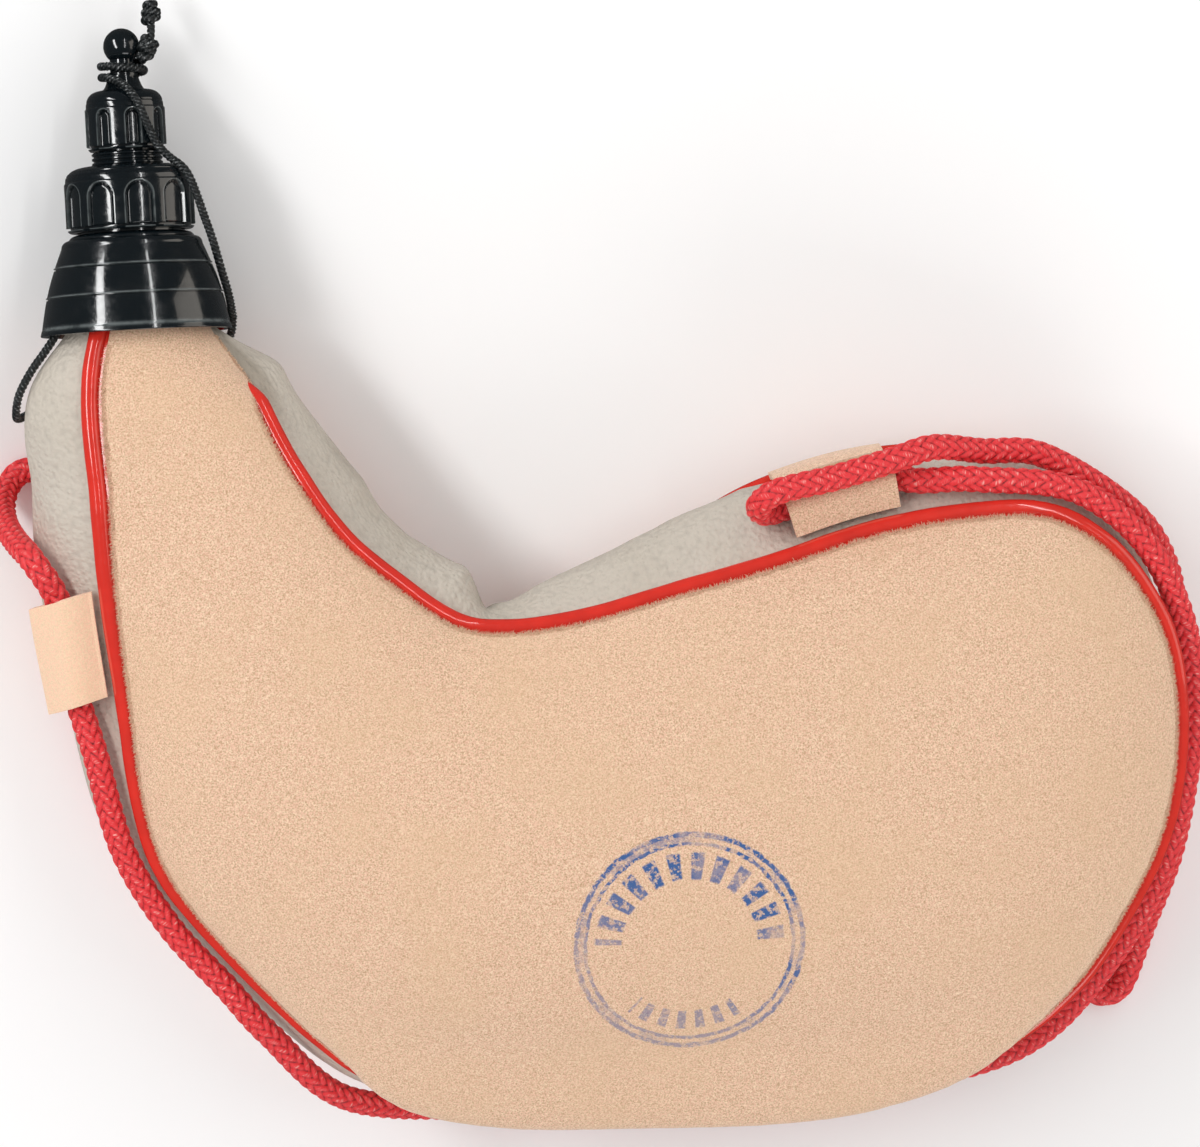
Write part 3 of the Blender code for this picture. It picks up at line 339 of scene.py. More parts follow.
def smooth_curve(points, steps):
    """A Catmull-Rom curve through points of any dimension."""
    p = np.asarray(points, float)
    p = np.vstack([2 * p[0] - p[1], p, 2 * p[-1] - p[-2]])
    made = []
    for i in range(1, len(p) - 2):
        a, b, c, d = p[i - 1 : i + 3]
        for k in range(steps):
            t = k / steps
            straight = b + (c - a) * t / 2
            bend = (2 * a - 5 * b + 4 * c - d) * t**2 / 2 + (3 * b - a - 3 * c + d) * t**3 / 2
            made.append(straight + bend)
    made.append(p[-2])
    return np.array(made)


def distances(points):
    steps = np.linalg.norm(np.diff(points, axis=0), axis=1)
    return np.concatenate([[0.0], np.cumsum(steps)])


def at_distances(points, run, wanted):
    return np.column_stack([np.interp(wanted, run, points[:, k]) for k in range(points.shape[1])])


def spaced(points, count, first=0.0, last=0.0, crowding=1.0):
    run = distances(points)
    shares = np.linspace(0, 1, count) ** crowding
    return at_distances(points, run, first + (run[-1] - last - first) * shares)


def even_rows(rows, count):
    run = distances(rows[:, :2])
    return at_distances(rows, run, np.linspace(0, run[-1], count))


def smoothstep(x):
    x = np.clip(x, 0.0, 1.0)
    return x * x * (3 - 2 * x)


def bump_at(values, centre, width):
    return np.exp(-(((values - centre) / width) ** 2))


# The neck's frame


def plan(x_share, y_share):
    return (
        (x_share - ORIGIN_SHARE[0]) * BAG_WIDTH,
        (y_share - ORIGIN_SHARE[1]) * BAG_LENGTH,
    )


ACROSS = np.array((math.cos(NECK_LEAN), math.sin(NECK_LEAN), 0.0))
ALONG = np.array((-math.sin(NECK_LEAN), math.cos(NECK_LEAN), 0.0)) * math.cos(NECK_DROOP)
ALONG[2] = -math.sin(NECK_DROOP)
UP = np.cross(ACROSS, ALONG)
NECK_CENTRE = np.array((*plan(*NECK_SHARE), NECK_HEIGHT))
# rows turn the nozzle's own coordinates, X across, Y down and Z along, into the world's
NECK_TURN = np.array((ACROSS, -UP, ALONG))


def from_neck(local):
    return NECK_CENTRE + np.asarray(local, float) @ NECK_TURN


def local_place(shares):
    across, up, along = (share * BASE_RIM_RADIUS / RIM_SHARE for share in shares[:3])
    return np.array((across, -up, along))


# The bag's skin


class Skin:
    """The bag's three surfaces as curves, one of each for every station."""

    def __init__(self):
        fine = 24
        sized = [
            (*plan(x, y), height * FRONT_SEAM_HEIGHT, reach * BACK_REACH, bulge * GUSSET_BULGE)
            for x, y, height, reach, bulge in OUTLINE_SHARES
        ]
        rows = smooth_curve(sized, fine)
        outer = even_rows(rows[: OUTER_LAST * fine + 1], SIDE_STATIONS + 1)
        lobe = even_rows(rows[OUTER_LAST * fine : INNER_FIRST * fine + 1], LOBE_STATIONS + 1)
        inner = even_rows(rows[INNER_FIRST * fine :], SIDE_STATIONS + 1)
        rows = np.vstack([outer, lobe[1:-1], inner])
        way = np.gradient(rows[:, :2], axis=0)
        way /= np.linalg.norm(way, axis=1)[:, None]
        spine = (outer[:, :2] + inner[::-1, :2]) / 2
        reach = distances(spine)
        crowns = smooth_curve(CROWN_SHARES, fine)
        last = len(rows) - 1
        order = [min(j, SIDE_STATIONS, last - j) for j in range(len(rows))]
        self.rows = rows
        self.normal = np.column_stack([way[:, 1], -way[:, 0], np.zeros(len(rows))])
        self.spine = np.column_stack([spine[order], np.zeros(len(rows))])
        self.crown = CROWN_HEIGHT * np.interp(
            np.array(order) / SIDE_STATIONS, crowns[:, 0], crowns[:, 1]
        )
        self.reach = reach[order]
        self.left = np.arange(len(rows)) < last / 2
        self.front = rows[:, :3]
        self.back = self.front + self.normal * rows[:, 3:4]
        self.back[:, 2] = BACK_SEAM_HEIGHT
        self.run = distances(rows[:, :3])

    def front_curves(self):
        turn = np.linspace(0, math.pi / 2, SECTION_POINTS)
        out = np.cos(turn)
        flat = self.front * [1, 1, 0] - self.spine
        line = self.spine[:, None] + flat[:, None] * out[None, :, None]
        rise = (self.crown - self.front[:, 2])[:, None]
        line[..., 2] = self.front[:, 2:3] + rise * (1 - out**2).clip(0) ** CROWN_POWER
        sag = BELLY_OVERHANG * (-self.normal[:, 1]).clip(0) ** BELLY_POWER
        wave = np.where(turn < math.pi / 4, np.sin(4 * turn), 0) ** 2
        line += self.normal[:, None] * (sag[:, None] * wave)[..., None]
        return self.drawn_to_neck(line, 0, (math.pi / 2, math.pi / 2))

    def gusset_curves(self):
        share = np.linspace(0, 1, SECTION_POINTS)
        wave = np.sin(math.pi * share)
        line = self.front[:, None] + (self.back - self.front)[:, None] * share[None, :, None]
        line += self.normal[:, None] * (self.rows[:, 4:5] * wave)[..., None]
        line = self.drawn_to_neck(line, 0, None)
        rate = np.where(self.left, *NECK_SWELL_SHARES) * self.reach
        rate *= (1 - smoothstep(self.reach / NECK_BLEND)) * (self.reach < NECK_BLEND)
        swell = self.normal[:, None] * (rate[:, None] * wave)[..., None]
        rings = (len(line) - len(swell)) // 2
        line[rings : len(line) - rings] += swell
        return line

    def back_curves(self):
        out = np.cos(np.linspace(0, math.pi / 2, SECTION_POINTS))
        flat = self.back * [1, 1, 0] - self.spine
        line = self.spine[:, None] + flat[:, None] * out[None, :, None]
        line[..., 2] = BACK_SEAM_HEIGHT * ((out - FLAT_SHARE) / (1 - FLAT_SHARE)).clip(0) ** 2
        return self.drawn_to_neck(line, 1, (math.pi * 1.5, -math.pi / 2))

    def drawn_to_neck(self, line, first, ends):
        """The curves drawn towards the round neck, and its rings inside the nozzle added."""
        turns = []
        for k, seams in enumerate((LEFT_SEAM_ANGLES, RIGHT_SEAM_ANGLES)):
            last = seams[1] if ends is None else ends[k]
            turns.append(np.linspace(seams[first], last, SECTION_POINTS))
        for j in np.flatnonzero(self.reach < NECK_BLEND):
            turn = turns[0 if self.left[j] else 1]
            circle = neck_ring(-self.reach[j], NECK_MOUTH_RADIUS, NECK_MOUTH_OFFSET, turn)
            weight = smoothstep(self.reach[j] / NECK_BLEND)
            line[j] = circle + (line[j] - circle) * weight
        depths = np.linspace(1, 0, 12, endpoint=False)
        known = np.array(NECK_RING_SHARES)[::-1]
        for turn, place in ((turns[0], "before"), (turns[1], "after")):
            rings = []
            for depth in depths:
                flare = np.interp(depth, known[:, 0], known[:, 1])
                radius = NECK_THROAT_RADIUS + (NECK_MOUTH_RADIUS - NECK_THROAT_RADIUS) * flare
                rings.append(neck_ring(depth * NECK_DEPTH, radius, NECK_MOUTH_OFFSET * flare, turn))
            if place == "before":
                line = np.concatenate([rings, line])
            else:
                line = np.concatenate([line, rings[::-1]])
        return line


def neck_ring(along, radius, offset, turn):
    left, right, upright = (radius + share * max(0.0, -along) for share in NECK_FLARE_SHARES)
    side = np.where(np.cos(turn) > 0, right, left) * np.cos(turn) + offset
    return (
        NECK_CENTRE
        + ACROSS * side[:, None]
        + UP * (upright * np.sin(turn))[:, None]
        + ALONG * along
    )


# Meshes


def grid_object(name, grid, shader, closed=False, flip=False, relief=None, weld=True, sharp=None):
    """A piece from a grid of points. Its map holds distances in metres, for the textures."""
    rows, columns = grid.shape[:2]
    steps = np.arange(columns if closed else columns - 1)
    start = np.arange(rows - 1)[:, None] * columns
    a = (start + steps).ravel()
    b = (start + (steps + 1) % columns).ravel()
    quads = np.stack([a, b, b + columns, a + columns], axis=1)
    along = np.concatenate([[0], np.cumsum(np.linalg.norm(np.diff(grid, axis=0), axis=2).mean(1))])
    ring = np.concatenate([grid, grid[:, :1]], axis=1) if closed else grid
    over = np.linalg.norm(np.diff(ring, axis=1), axis=2).mean(0)
    over = np.concatenate([[0], np.cumsum(over)])
    row = np.repeat(np.arange(rows - 1), len(steps))
    column = np.tile(steps, rows - 1)
    corners = np.stack(
        [
            np.column_stack([along[row], over[column]]),
            np.column_stack([along[row], over[column + 1]]),
            np.column_stack([along[row + 1], over[column + 1]]),
            np.column_stack([along[row + 1], over[column]]),
        ],
        axis=1,
    )
    if flip:
        quads, corners = quads[:, ::-1], corners[:, ::-1]
    mesh = bpy.data.meshes.new(name)
    mesh.from_pydata(grid.reshape(-1, 3).tolist(), [], quads.tolist())
    layer = mesh.uv_layers.new(name="metric")
    layer.data.foreach_set("uv", corners.reshape(-1).astype(np.float32))
    if relief is not None:
        values = mesh.attributes.new("relief", "FLOAT", "POINT")
        values.data.foreach_set("value", np.asarray(relief, np.float32).ravel())
    if weld:
        shape = bmesh.new()
        shape.from_mesh(mesh)
        bmesh.ops.remove_doubles(shape, verts=shape.verts, dist=1e-6)
        shape.to_mesh(mesh)
        shape.free()
    mesh.shade_smooth()
    if sharp:
        mesh.set_sharp_from_angle(angle=math.radians(sharp))
    mesh.materials.append(shader)
    obj = bpy.data.objects.new(name, mesh)
    bpy.context.scene.collection.objects.link(obj)
    return obj


def solidify(obj, thickness):
    modifier = obj.modifiers.new("thickness", "SOLIDIFY")
    modifier.thickness = thickness
    modifier.offset = -1
    modifier.use_even_offset = False


def place(obj, body, slot, *nodes):
    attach(obj, body)
    if nodes:
        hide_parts(*nodes)
    return obj


def frames(points):
    """The way along a path and two directions across it that don't twist."""
    way = np.gradient(points, axis=0)
    way /= np.linalg.norm(way, axis=1)[:, None]
    side = np.cross(way[0], (0.0, 0.0, 1.0))
    if np.linalg.norm(side) < 0.1:
        side = np.cross(way[0], (1.0, 0.0, 0.0))
    sides = []
    for w in way:
        side = side - w * side.dot(w)
        side /= np.linalg.norm(side)
        sides.append(side)
    sides = np.array(sides)
    return way, sides, np.cross(way, sides)


def braid(run, angle, strands, lay):
    """The relief, 0 to 1, of a braid whose strands run over two and under two."""
    p = strands * angle / (2 * math.pi) + run / lay
    q = strands * angle / (2 * math.pi) - run / lay
    i, j = np.floor(q), np.floor(p)
    first = (i + j) % 4
    over = first < 2
    across = np.where(over, q - i, p - j)
    through = np.where(over, (first + p - j) / 2, ((first + 1) % 4 % 2 + 1 - (q - i)) / 2)
    profile = np.sqrt(np.clip(1 - (2 * across - 1) ** 2, 0, 1))
    return profile * (0.45 + 0.55 * np.sin(math.pi * np.clip(through, 0, 1)) ** 0.6)


def twist(run, angle, strands, lay):
    """The relief, 0 to 1, of strands laid round each other."""
    return np.abs(np.sin(strands * angle / 2 + math.pi * run / lay))


def braided(name, points, radius, shader, strands, lay, step, columns, depth=0.16, closed_ends=(True, True), relief_of=braid):
    """A braided tube along a path, with rounded ends where it isn't joined to another."""
    run = distances(points)
    count = max(8, int(run[-1] / step))
    wanted = np.linspace(0, run[-1], count)
    line = at_distances(points, run, wanted)
    _, side, up = frames(line)
    angle = np.linspace(0, 2 * math.pi, columns, endpoint=False)
    relief = relief_of(wanted[:, None], angle[None], strands, lay)
    size = np.ones((count, 1))
    for from_end, is_closed in ((wanted, closed_ends[0]), (run[-1] - wanted, closed_ends[1])):
        if is_closed:
            share = np.clip(from_end / radius, 0, 1)[:, None]
            size = size * np.sqrt(np.clip(1 - (1 - share) ** 2, 0, 1))
    spread = radius * size * (1 - depth * 0.8 + depth * relief)
    around = np.cos(angle)[None, :, None] * side[:, None] + np.sin(angle)[None, :, None] * up[:, None]
    grid = line[:, None] + around * spread[..., None]
    return grid_object(name, grid, shader, closed=True, relief=relief), line


def plain_tube(name, points, radius, shader, columns=20, sway=0.0):
    _, side, up = frames(points)
    angle = np.linspace(0, 2 * math.pi, columns, endpoint=False)
    run = distances(points)
    around = np.cos(angle)[None, :, None] * side[:, None] + np.sin(angle)[None, :, None] * up[:, None]
    wave = 1 + sway * np.sin(run / 0.0021) * np.sin(run / 0.0147 + 1)
    grid = points[:, None] + around * (radius * wave)[:, None, None]
    return grid_object(name, grid, shader, closed=True)


# Materials


class Finish:
    """A Principled material and short ways to wire its textures."""

    def __init__(self, name, colour, roughness, **values):
        self.material = bpy.data.materials.new(name)
        self.material.use_nodes = True
        self.tree = self.material.node_tree
        self.shader = self.tree.nodes["Principled BSDF"]
        self.set("Base Color", (*colour, 1.0))
        self.set("Roughness", roughness)
        for key, value in values.items():
            self.set(key.replace("_", " "), value)

    def set(self, socket, value):
        self.feed(self.shader.inputs[socket], value)

    def feed(self, socket, value):
        if isinstance(value, bpy.types.NodeSocket):
            self.tree.links.new(value, socket)
        else:
            socket.default_value = value

    def add(self, kind, inputs=(), output=0, **settings):
        node = self.tree.nodes.new("ShaderNode" + kind)
        for key, value in settings.items():
            setattr(node, key, value)
        for key, value in dict(inputs).items():
            self.feed(node.inputs[key], value)
        return node.outputs[output]

    def math(self, operation, a, b=0.0, c=0.0, clamp=False):
        return self.add("Math", {0: a, 1: b, 2: c}, operation=operation, use_clamp=clamp)

    def object_place(self):
        return self.add("TexCoord", output="Object")

    def metric(self, stretch=(1.0, 1.0, 1.0), turn=0.0):
        flat = self.add("UVMap", uv_map="metric")
        return self.add("Mapping", {"Vector": flat, "Scale": stretch, "Rotation": (0, 0, turn)})

    def noise(self, where, scale, detail=2.0, roughness=0.5):
        inputs = {"Vector": where, "Scale": scale, "Detail": detail, "Roughness": roughness}
        return self.add("TexNoise", inputs)

    def ramp(self, value, low, high, to_low=0.0, to_high=1.0):
        inputs = {0: value, 1: low, 2: high, 3: to_low, 4: to_high}
        return self.add("MapRange", inputs, interpolation_type="SMOOTHSTEP")

    def mix(self, factor, a, b, blend="MIX"):
        node = self.tree.nodes.new("ShaderNodeMix")
        node.data_type = "RGBA"
        node.blend_type = blend
        sockets = {s.identifier: s for s in node.inputs}
        self.feed(sockets["Factor_Float"], factor)
        for key, value in (("A_Color", a), ("B_Color", b)):
            if isinstance(value, tuple):
                value = (*value, 1.0)
            self.feed(sockets[key], value)
        return next(s for s in node.outputs if s.identifier == "Result_Color")

    def bump(self, height, distance, strength=1.0, under=None):
        inputs = {"Height": height, "Distance": distance, "Strength": strength}
        if under is not None:
            inputs["Normal"] = under
        return self.add("Bump", inputs)


SUEDE = (0.76, 0.552, 0.372)
SHEET = (0.60, 0.540, 0.462)
VINYL = (0.76, 0.035, 0.022)
BRAID = (0.84, 0.030, 0.038)
BLACK = (0.004, 0.007, 0.009)


def suede_finish(name, colour=SUEDE, stamp=None, grain=1.0):
    f = Finish(name, colour, 0.93, Sheen_Weight=0.25, Sheen_Roughness=0.5)
    f.set("Specular IOR Level", 0.2)
    where = f.object_place()
    fine = f.noise(where, 2600, 2, 0.6)
    nap = f.noise(where, 900, 3, 0.65)
    hue = f.noise(where, 2100, 1, 0.5)
    patch = f.noise(where, 30, 4, 0.6)
    light = tuple(min(1.0, c * (1 + grain * s)) for c, s in zip(colour, (0.24, 0.28, 0.34)))
    dark = tuple(c * (1 - grain * s) for c, s in zip(colour, (0.32, 0.42, 0.50)))
    tone = f.mix(f.ramp(fine, 0.34, 0.66), dark, light)
    tone = f.mix(f.ramp(nap, 0.40, 0.75, 0.0, 0.30), tone, dark)
    tone = f.mix(f.ramp(hue, 0.38, 0.62, 0.0, 0.55), tone, tuple(c * s for c, s in zip(colour, (1.10, 0.90, 0.98))))
    tone = f.mix(f.ramp(patch, 0.40, 0.70, 0.0, 0.40), tone, tuple(c * s for c, s in zip(colour, (0.97, 0.91, 0.84))))
    # painted shadow of the cord, darker brown, on the right keeper
    cord_shadow = f.add("Attribute", output="Fac", attribute_name="relief")
    tone = f.mix(f.ramp(cord_shadow, 0.0, 1.0, 0.0, 0.75), tone, (0.34, 0.165, 0.065))
    if stamp is not None:
        tone = f.mix(stamp(f, where), tone, (0.012, 0.100, 0.31))
    f.set("Base Color", tone)
    high = f.math("MULTIPLY_ADD", nap, 1.5, fine)
    f.set("Normal", f.bump(high, 0.00022, 0.6))
    return f.material


STAMP_PLACE = (
    (691 - 97) / 1083 * BAG_WIDTH - ORIGIN_SHARE[0] * BAG_WIDTH - 0.0017,
    (1115 - 941) / 779 * BAG_LENGTH - ORIGIN_SHARE[1] * BAG_LENGTH + 0.0026,
)
STAMP_RADIUS = 0.0266
STAMP_LINE = 0.00078


def stamp_mask(f, where):
    """Worn ink: a double ring, a circle of blocks and dots, and none in the middle."""
    flat = f.add("Mapping", {"Vector": where, "Location": (-STAMP_PLACE[0], -STAMP_PLACE[1], 0.0)})
    parts = f.add("SeparateXYZ", {0: flat})
    x = parts
    y = parts.node.outputs[1]
    wobble = f.math("MULTIPLY_ADD", f.noise(where, 420, 2), 0.0010, -0.0005)
    far = f.math("ADD", f.math("SQRT", f.math("ADD", f.math("POWER", x, 2.0), f.math("POWER", y, 2.0))), wobble)
    turn = f.math("ARCTAN2", y, x)

    def ring(radius, width):
        off = f.math("ABSOLUTE", f.math("SUBTRACT", far, radius))
        return f.ramp(off, width * 0.5, width * 1.0, 1.0, 0.0)

    def blocks(radius, height, count, width, first, last):
        inside = f.ramp(f.math("ABSOLUTE", f.math("SUBTRACT", far, radius)), height * 0.44, height * 0.54, 1.0, 0.0)
        step = f.math("FRACT", f.math("MULTIPLY", turn, count / (2 * math.pi)))
        bar = f.ramp(f.math("ABSOLUTE", f.math("SUBTRACT", step, 0.5)), width * 0.42, width * 0.55, 1.0, 0.0)
        after = f.math("GREATER_THAN", turn, first)
        before = f.math("LESS_THAN", turn, last)
        made = f.math("MULTIPLY", inside, bar)
        return f.math("MULTIPLY", made, f.math("MULTIPLY", after, before))

    rings = f.math("MAXIMUM", ring(STAMP_RADIUS, STAMP_LINE), ring(STAMP_RADIUS * 0.92, STAMP_LINE * 0.75))
    upper = blocks(STAMP_RADIUS * 0.72, 0.0064, 23, 0.56, -0.02, math.pi + 0.1)
    lower = blocks(STAMP_RADIUS * 0.74, 0.0048, 29, 0.50, -2.25, -0.95)
    bars = f.math("MULTIPLY", ring(STAMP_RADIUS * 0.96, 0.0016), f.ramp(f.noise(where, 140, 2), 0.45, 0.62, 0.0, 0.55))
    drawn = f.math("MAXIMUM", rings, f.math("MAXIMUM", upper, f.math("MAXIMUM", lower, bars)))
    wear_and_painted_highlight = f.ramp(f.noise(where, 760, 3, 0.65), 0.36, 0.52)
    broad = f.ramp(f.noise(where, 90, 3), 0.30, 0.52, 0.35, 1.0)
    faded = f.ramp(f.math("ADD", f.math("MULTIPLY", x, 0.5), y), -0.022, 0.012, 0.55, 1.0)
    ink = f.math("MULTIPLY", f.math("MULTIPLY", drawn, wear_and_painted_highlight), f.math("MULTIPLY", broad, faded))
    blot = f.math("MULTIPLY", drawn, 0.22)
    return f.math("MAXIMUM", f.math("MULTIPLY", ink, 0.95), blot)


def sheet_finish():
    f = Finish("grey_pebbled_sheet", SHEET, 0.55, Sheen_Weight=0.05)
    f.set("Specular IOR Level", 0.35)
    where = f.metric()
    cells = f.add("TexVoronoi", {"Vector": where, "Scale": 850.0}, output="Distance", feature="SMOOTH_F1")
    pores = f.noise(where, 2100, 2)
    creases = f.noise(f.metric((1.0, 0.20, 1.0), 0.9), 420, 4, 0.6)
    crossing = f.noise(f.metric((0.22, 1.0, 1.0), 0.5), 300, 3, 0.6)
    patch = f.noise(where, 45, 3)
    relief = f.add("Attribute", output="Fac", attribute_name="relief")
    tone = f.mix(f.ramp(patch, 0.35, 0.7, 0.0, 0.45), SHEET, tuple(c * s for c, s in zip(SHEET, (0.90, 0.89, 0.86))))
    tone = f.mix(f.ramp(cells, 0.40, 0.85, 0.0, 0.42), tone, tuple(c * 0.70 for c in SHEET))
    tone = f.mix(f.ramp(creases, 0.56, 0.74, 0.0, 0.12), tone, tuple(c * 0.72 for c in SHEET))
    # painted shade: darker brown where the gusset folds by the rim and at the bend
    tone = f.mix(f.ramp(relief, 0.0, 1.0, 0.0, 0.62), tone, (0.27, 0.225, 0.17))
    f.set("Base Color", tone)
    high = f.math("MULTIPLY_ADD", cells, -1.6, f.math("MULTIPLY", pores, 0.35))
    high = f.math("MULTIPLY_ADD", creases, 1.0, high)
    high = f.math("MULTIPLY_ADD", crossing, 0.7, high)
    f.set("Normal", f.bump(high, 0.00042, 0.75))
    f.set("Roughness", f.ramp(pores, 0.3, 0.7, 0.45, 0.62))
    return f.material


def vinyl_finish():
    f = Finish("red_vinyl", VINYL, 0.20, Coat_Weight=0.8, Coat_Roughness=0.05)
    where = f.metric()
    soft = f.noise(where, 160, 2)
    fine = f.noise(where, 1500, 2)
    f.set("Base Color", f.mix(f.ramp(soft, 0.3, 0.7), VINYL, tuple(c * 0.88 for c in VINYL)))
    f.set("Roughness", f.ramp(fine, 0.3, 0.75, 0.14, 0.26))
    f.set("Normal", f.bump(f.math("MULTIPLY_ADD", soft, 3.0, f.math("MULTIPLY", fine, 0.1)), 0.00012, 0.5))
    return f.material


def braid_finish(name, colour, roughness, glint, stretch, deep=0.30, sheen=0.0):
    f = Finish(name, colour, roughness, Sheen_Weight=sheen)
    relief = f.add("Attribute", output="Fac", attribute_name="relief")
    yarn = f.noise(f.metric(stretch, 0.8), 2600, 3, 0.6)
    # painted shade: the grooves between strands darkened by the deep share
    tone = f.mix(f.ramp(relief, 0.12, 0.66), tuple(c * deep for c in colour), colour)
    # painted highlight: pale glints on the strands' crowns
    shine = f.math("MULTIPLY", f.ramp(relief, 0.70, 1.0), f.ramp(yarn, 0.50, 0.66))
    tone = f.mix(f.math("MULTIPLY", shine, 0.75), tone, glint)
    f.set("Base Color", tone)
    f.set("Normal", f.bump(yarn, 0.00022, 0.8))
    return f.material


def plastic_finish():
    f = Finish("black_gloss_plastic", BLACK, 0.14, Coat_Weight=1.0, Coat_Roughness=0.05)
    f.set("IOR", 1.56)
    where = f.object_place()
    smear = f.noise(where, 260, 4, 0.6)
    fine = f.noise(where, 2200, 2)
    # painted highlight: paler grey on the moulded edges
    painted_edge_highlight = f.math("MULTIPLY", f.add("Attribute", output="Fac", attribute_name="relief"), f.ramp(smear, 0.30, 0.60, 0.35, 1.0))
    f.set("Base Color", f.mix(painted_edge_highlight, BLACK, (0.15, 0.17, 0.17)))
    f.set("Roughness", f.ramp(smear, 0.35, 0.75, 0.10, 0.26))
    f.set("Normal", f.bump(f.math("MULTIPLY_ADD", smear, 1.6, f.math("MULTIPLY", fine, 0.2)), 0.00009, 0.6))
    return f.material


def plain_finish(name, colour, roughness, scale, depth):
    f = Finish(name, colour, roughness)
    grain = f.noise(f.object_place(), scale, 3)
    f.set("Base Color", f.mix(f.ramp(grain, 0.3, 0.7), colour, tuple(c * 0.78 for c in colour)))
    f.set("Normal", f.bump(grain, depth, 0.6))
    return f.material


front_suede = suede_finish("tan_suede_front", stamp=stamp_mask)
suede = suede_finish("tan_suede")
grain_leather = suede_finish("tan_grain_leather", tuple(c * 1.16 for c in SUEDE), grain=0.25)
sheet = sheet_finish()
vinyl = vinyl_finish()
red_braid = braid_finish("red_braid", BRAID, 0.45, (1.0, 0.52, 0.46), (1.0, 0.12, 1.0), 0.30, 0.06)
black_braid = braid_finish("black_braid", (0.010, 0.013, 0.014), 0.32, (0.42, 0.44, 0.44), (1.0, 0.15, 1.0))
plastic = plastic_finish()
rubber = plain_finish("seal_rubber", (0.05, 0.05, 0.05), 0.75, 900, 0.00008)
latex = plain_finish("liner_latex", (0.70, 0.64, 0.50), 0.42, 300, 0.0002)
twine = plain_finish("waxed_twine", (0.62, 0.50, 0.33), 0.80, 1600, 0.0002)

# The skin's pieces

skin = Skin()
front_curves = skin.front_curves()
gusset_curves = skin.gusset_curves()
back_curves = skin.back_curves()
RINGS = (len(gusset_curves) - len(skin.rows)) // 2
seam_run = distances(gusset_curves[:, 0])
gusset_length = seam_run[-1]
seam_share = seam_run / gusset_length


seam_height = (front_curves[:, 0] - NECK_CENTRE) @ ALONG
sunk = smoothstep((seam_height + 0.019) / 0.007) * (seam_share > 0.5)
panel_edge = PIPING_RADIUS * 1.5 * (1 - sunk)
to_axis = NECK_CENTRE + seam_height[:, None] * ALONG - front_curves[:, 0]
to_axis *= 0.0034 * sunk[:, None] / np.linalg.norm(to_axis, axis=1)[:, None]


def shaped(grid, lift):
    """A grid moved along its own normals."""
    normal = np.cross(np.gradient(grid, axis=0), np.gradient(grid, axis=1))
    size = np.linalg.norm(normal, axis=2)[..., None]
    normal = normal / np.where(size < 1e-12, 1, size)
    return grid + normal * lift[..., None]


def wrinkle(u, v, seed, scale, count=5):
    """A smooth sum of waves, about -1 to 1, for leather that isn't flat."""
    dice = np.random.default_rng(seed)
    total = 0
    for _ in range(count):
        turn = dice.uniform(0, 2 * math.pi)
        rate = dice.uniform(0.6, 1.6) / scale
        total = total + np.sin((u * math.cos(turn) + v * math.sin(turn)) * rate + dice.uniform(0, 6.3))
    return total / count * 1.6


def make_front():
    rows = 40
    grid = np.array([spaced(c, rows, e, 0, ROW_CROWDING) for c, e in zip(front_curves, panel_edge)])
    from_edge = np.linalg.norm(grid - grid[:, :1], axis=2)
    lift = 0.00030 * wrinkle(grid[..., 0], grid[..., 1], 3, 0.012)
    lift = lift * smoothstep(from_edge / 0.012) * smoothstep((seam_share[:, None] - 0.02) / 0.03)
    pucker = np.sin(seam_run[:, None] / 0.0011) * np.sin(seam_run[:, None] / 0.0045 + 2)
    lift += 0.00022 * pucker * np.exp(-from_edge / 0.004)
    lift *= smoothstep(from_edge / 0.0015)
    made = shaped(grid, lift)
    made[:, -1] = (made[:, -1] + made[::-1, -1]) / 2
    obj = grid_object("front_panel_suede", made, front_suede, flip=True)
    solidify(obj, PANEL_LEATHER)
    return place(obj, "bag", "suede", "front_panel"), grid


def make_back():
    grid = np.array([spaced(c, 28, PIPING_RADIUS * 0.9, 0, ROW_CROWDING) for c in back_curves])
    obj = grid_object("back_panel_suede", grid, suede)
    solidify(obj, PANEL_LEATHER)
    return place(obj, "bag", "suede", "back_panel")


GUSSET_SWELL_SHARES = (
    (0.754, 0.0),
    (0.765, 0.31),
    (0.783, -0.12),
    (0.795, -0.46),
    (0.809, -0.44),
    (0.824, -0.36),
    (0.836, -0.16),
    (0.846, -0.36),
    (0.852, -0.24),
    (0.857, 0.42),
    (0.862, 0.84),
    (0.867, 0.98),
    (0.875, 0.54),
    (0.886, 0.0),
    (0.899, -0.04),
    (0.912, 0.24),
    (0.931, 0.04),
    (0.945, 0.0),
)
SWELL = 0.005  # what the second share in each row is of
NOTCH_SHARES = (0.8525, 0.58, 0.0014)  # along the gusset, of SWELL, and its width in metres
# Painted shade in the gusset's folds: along share, half width, across share, reach across, and strength
SHADE_SHARES = ((0.968, 0.022, 0.07, 0.13, 1.25), (0.918, 0.014, 0.52, 0.16, 0.45), (0.853, 0.006, 0.42, 0.30, 0.7))


def swell(along, across):
    """How far the gusset stands out, in metres: soft hills, and one crease at the inside of the bend."""
    table = np.array(GUSSET_SWELL_SHARES)
    spots = np.linspace(0.70, 1.0, 900)
    hills = np.interp(spots, table[:, 0], table[:, 1], 0.0, 0.0)
    blur = np.exp(-np.linspace(-2.5, 2.5, 23) ** 2)
    hills = np.convolve(hills, blur / blur.sum(), "same")
    hill = np.interp(along, spots, hills, 0.0, 0.0)
    place, deep, width = NOTCH_SHARES
    crease = deep * np.exp(-np.abs(along - place) * gusset_length / width)
    free = np.sin(math.pi * across) ** 0.7
    return SWELL * (hill * free - crease * smoothstep((across - 0.12) / 0.35) * free)


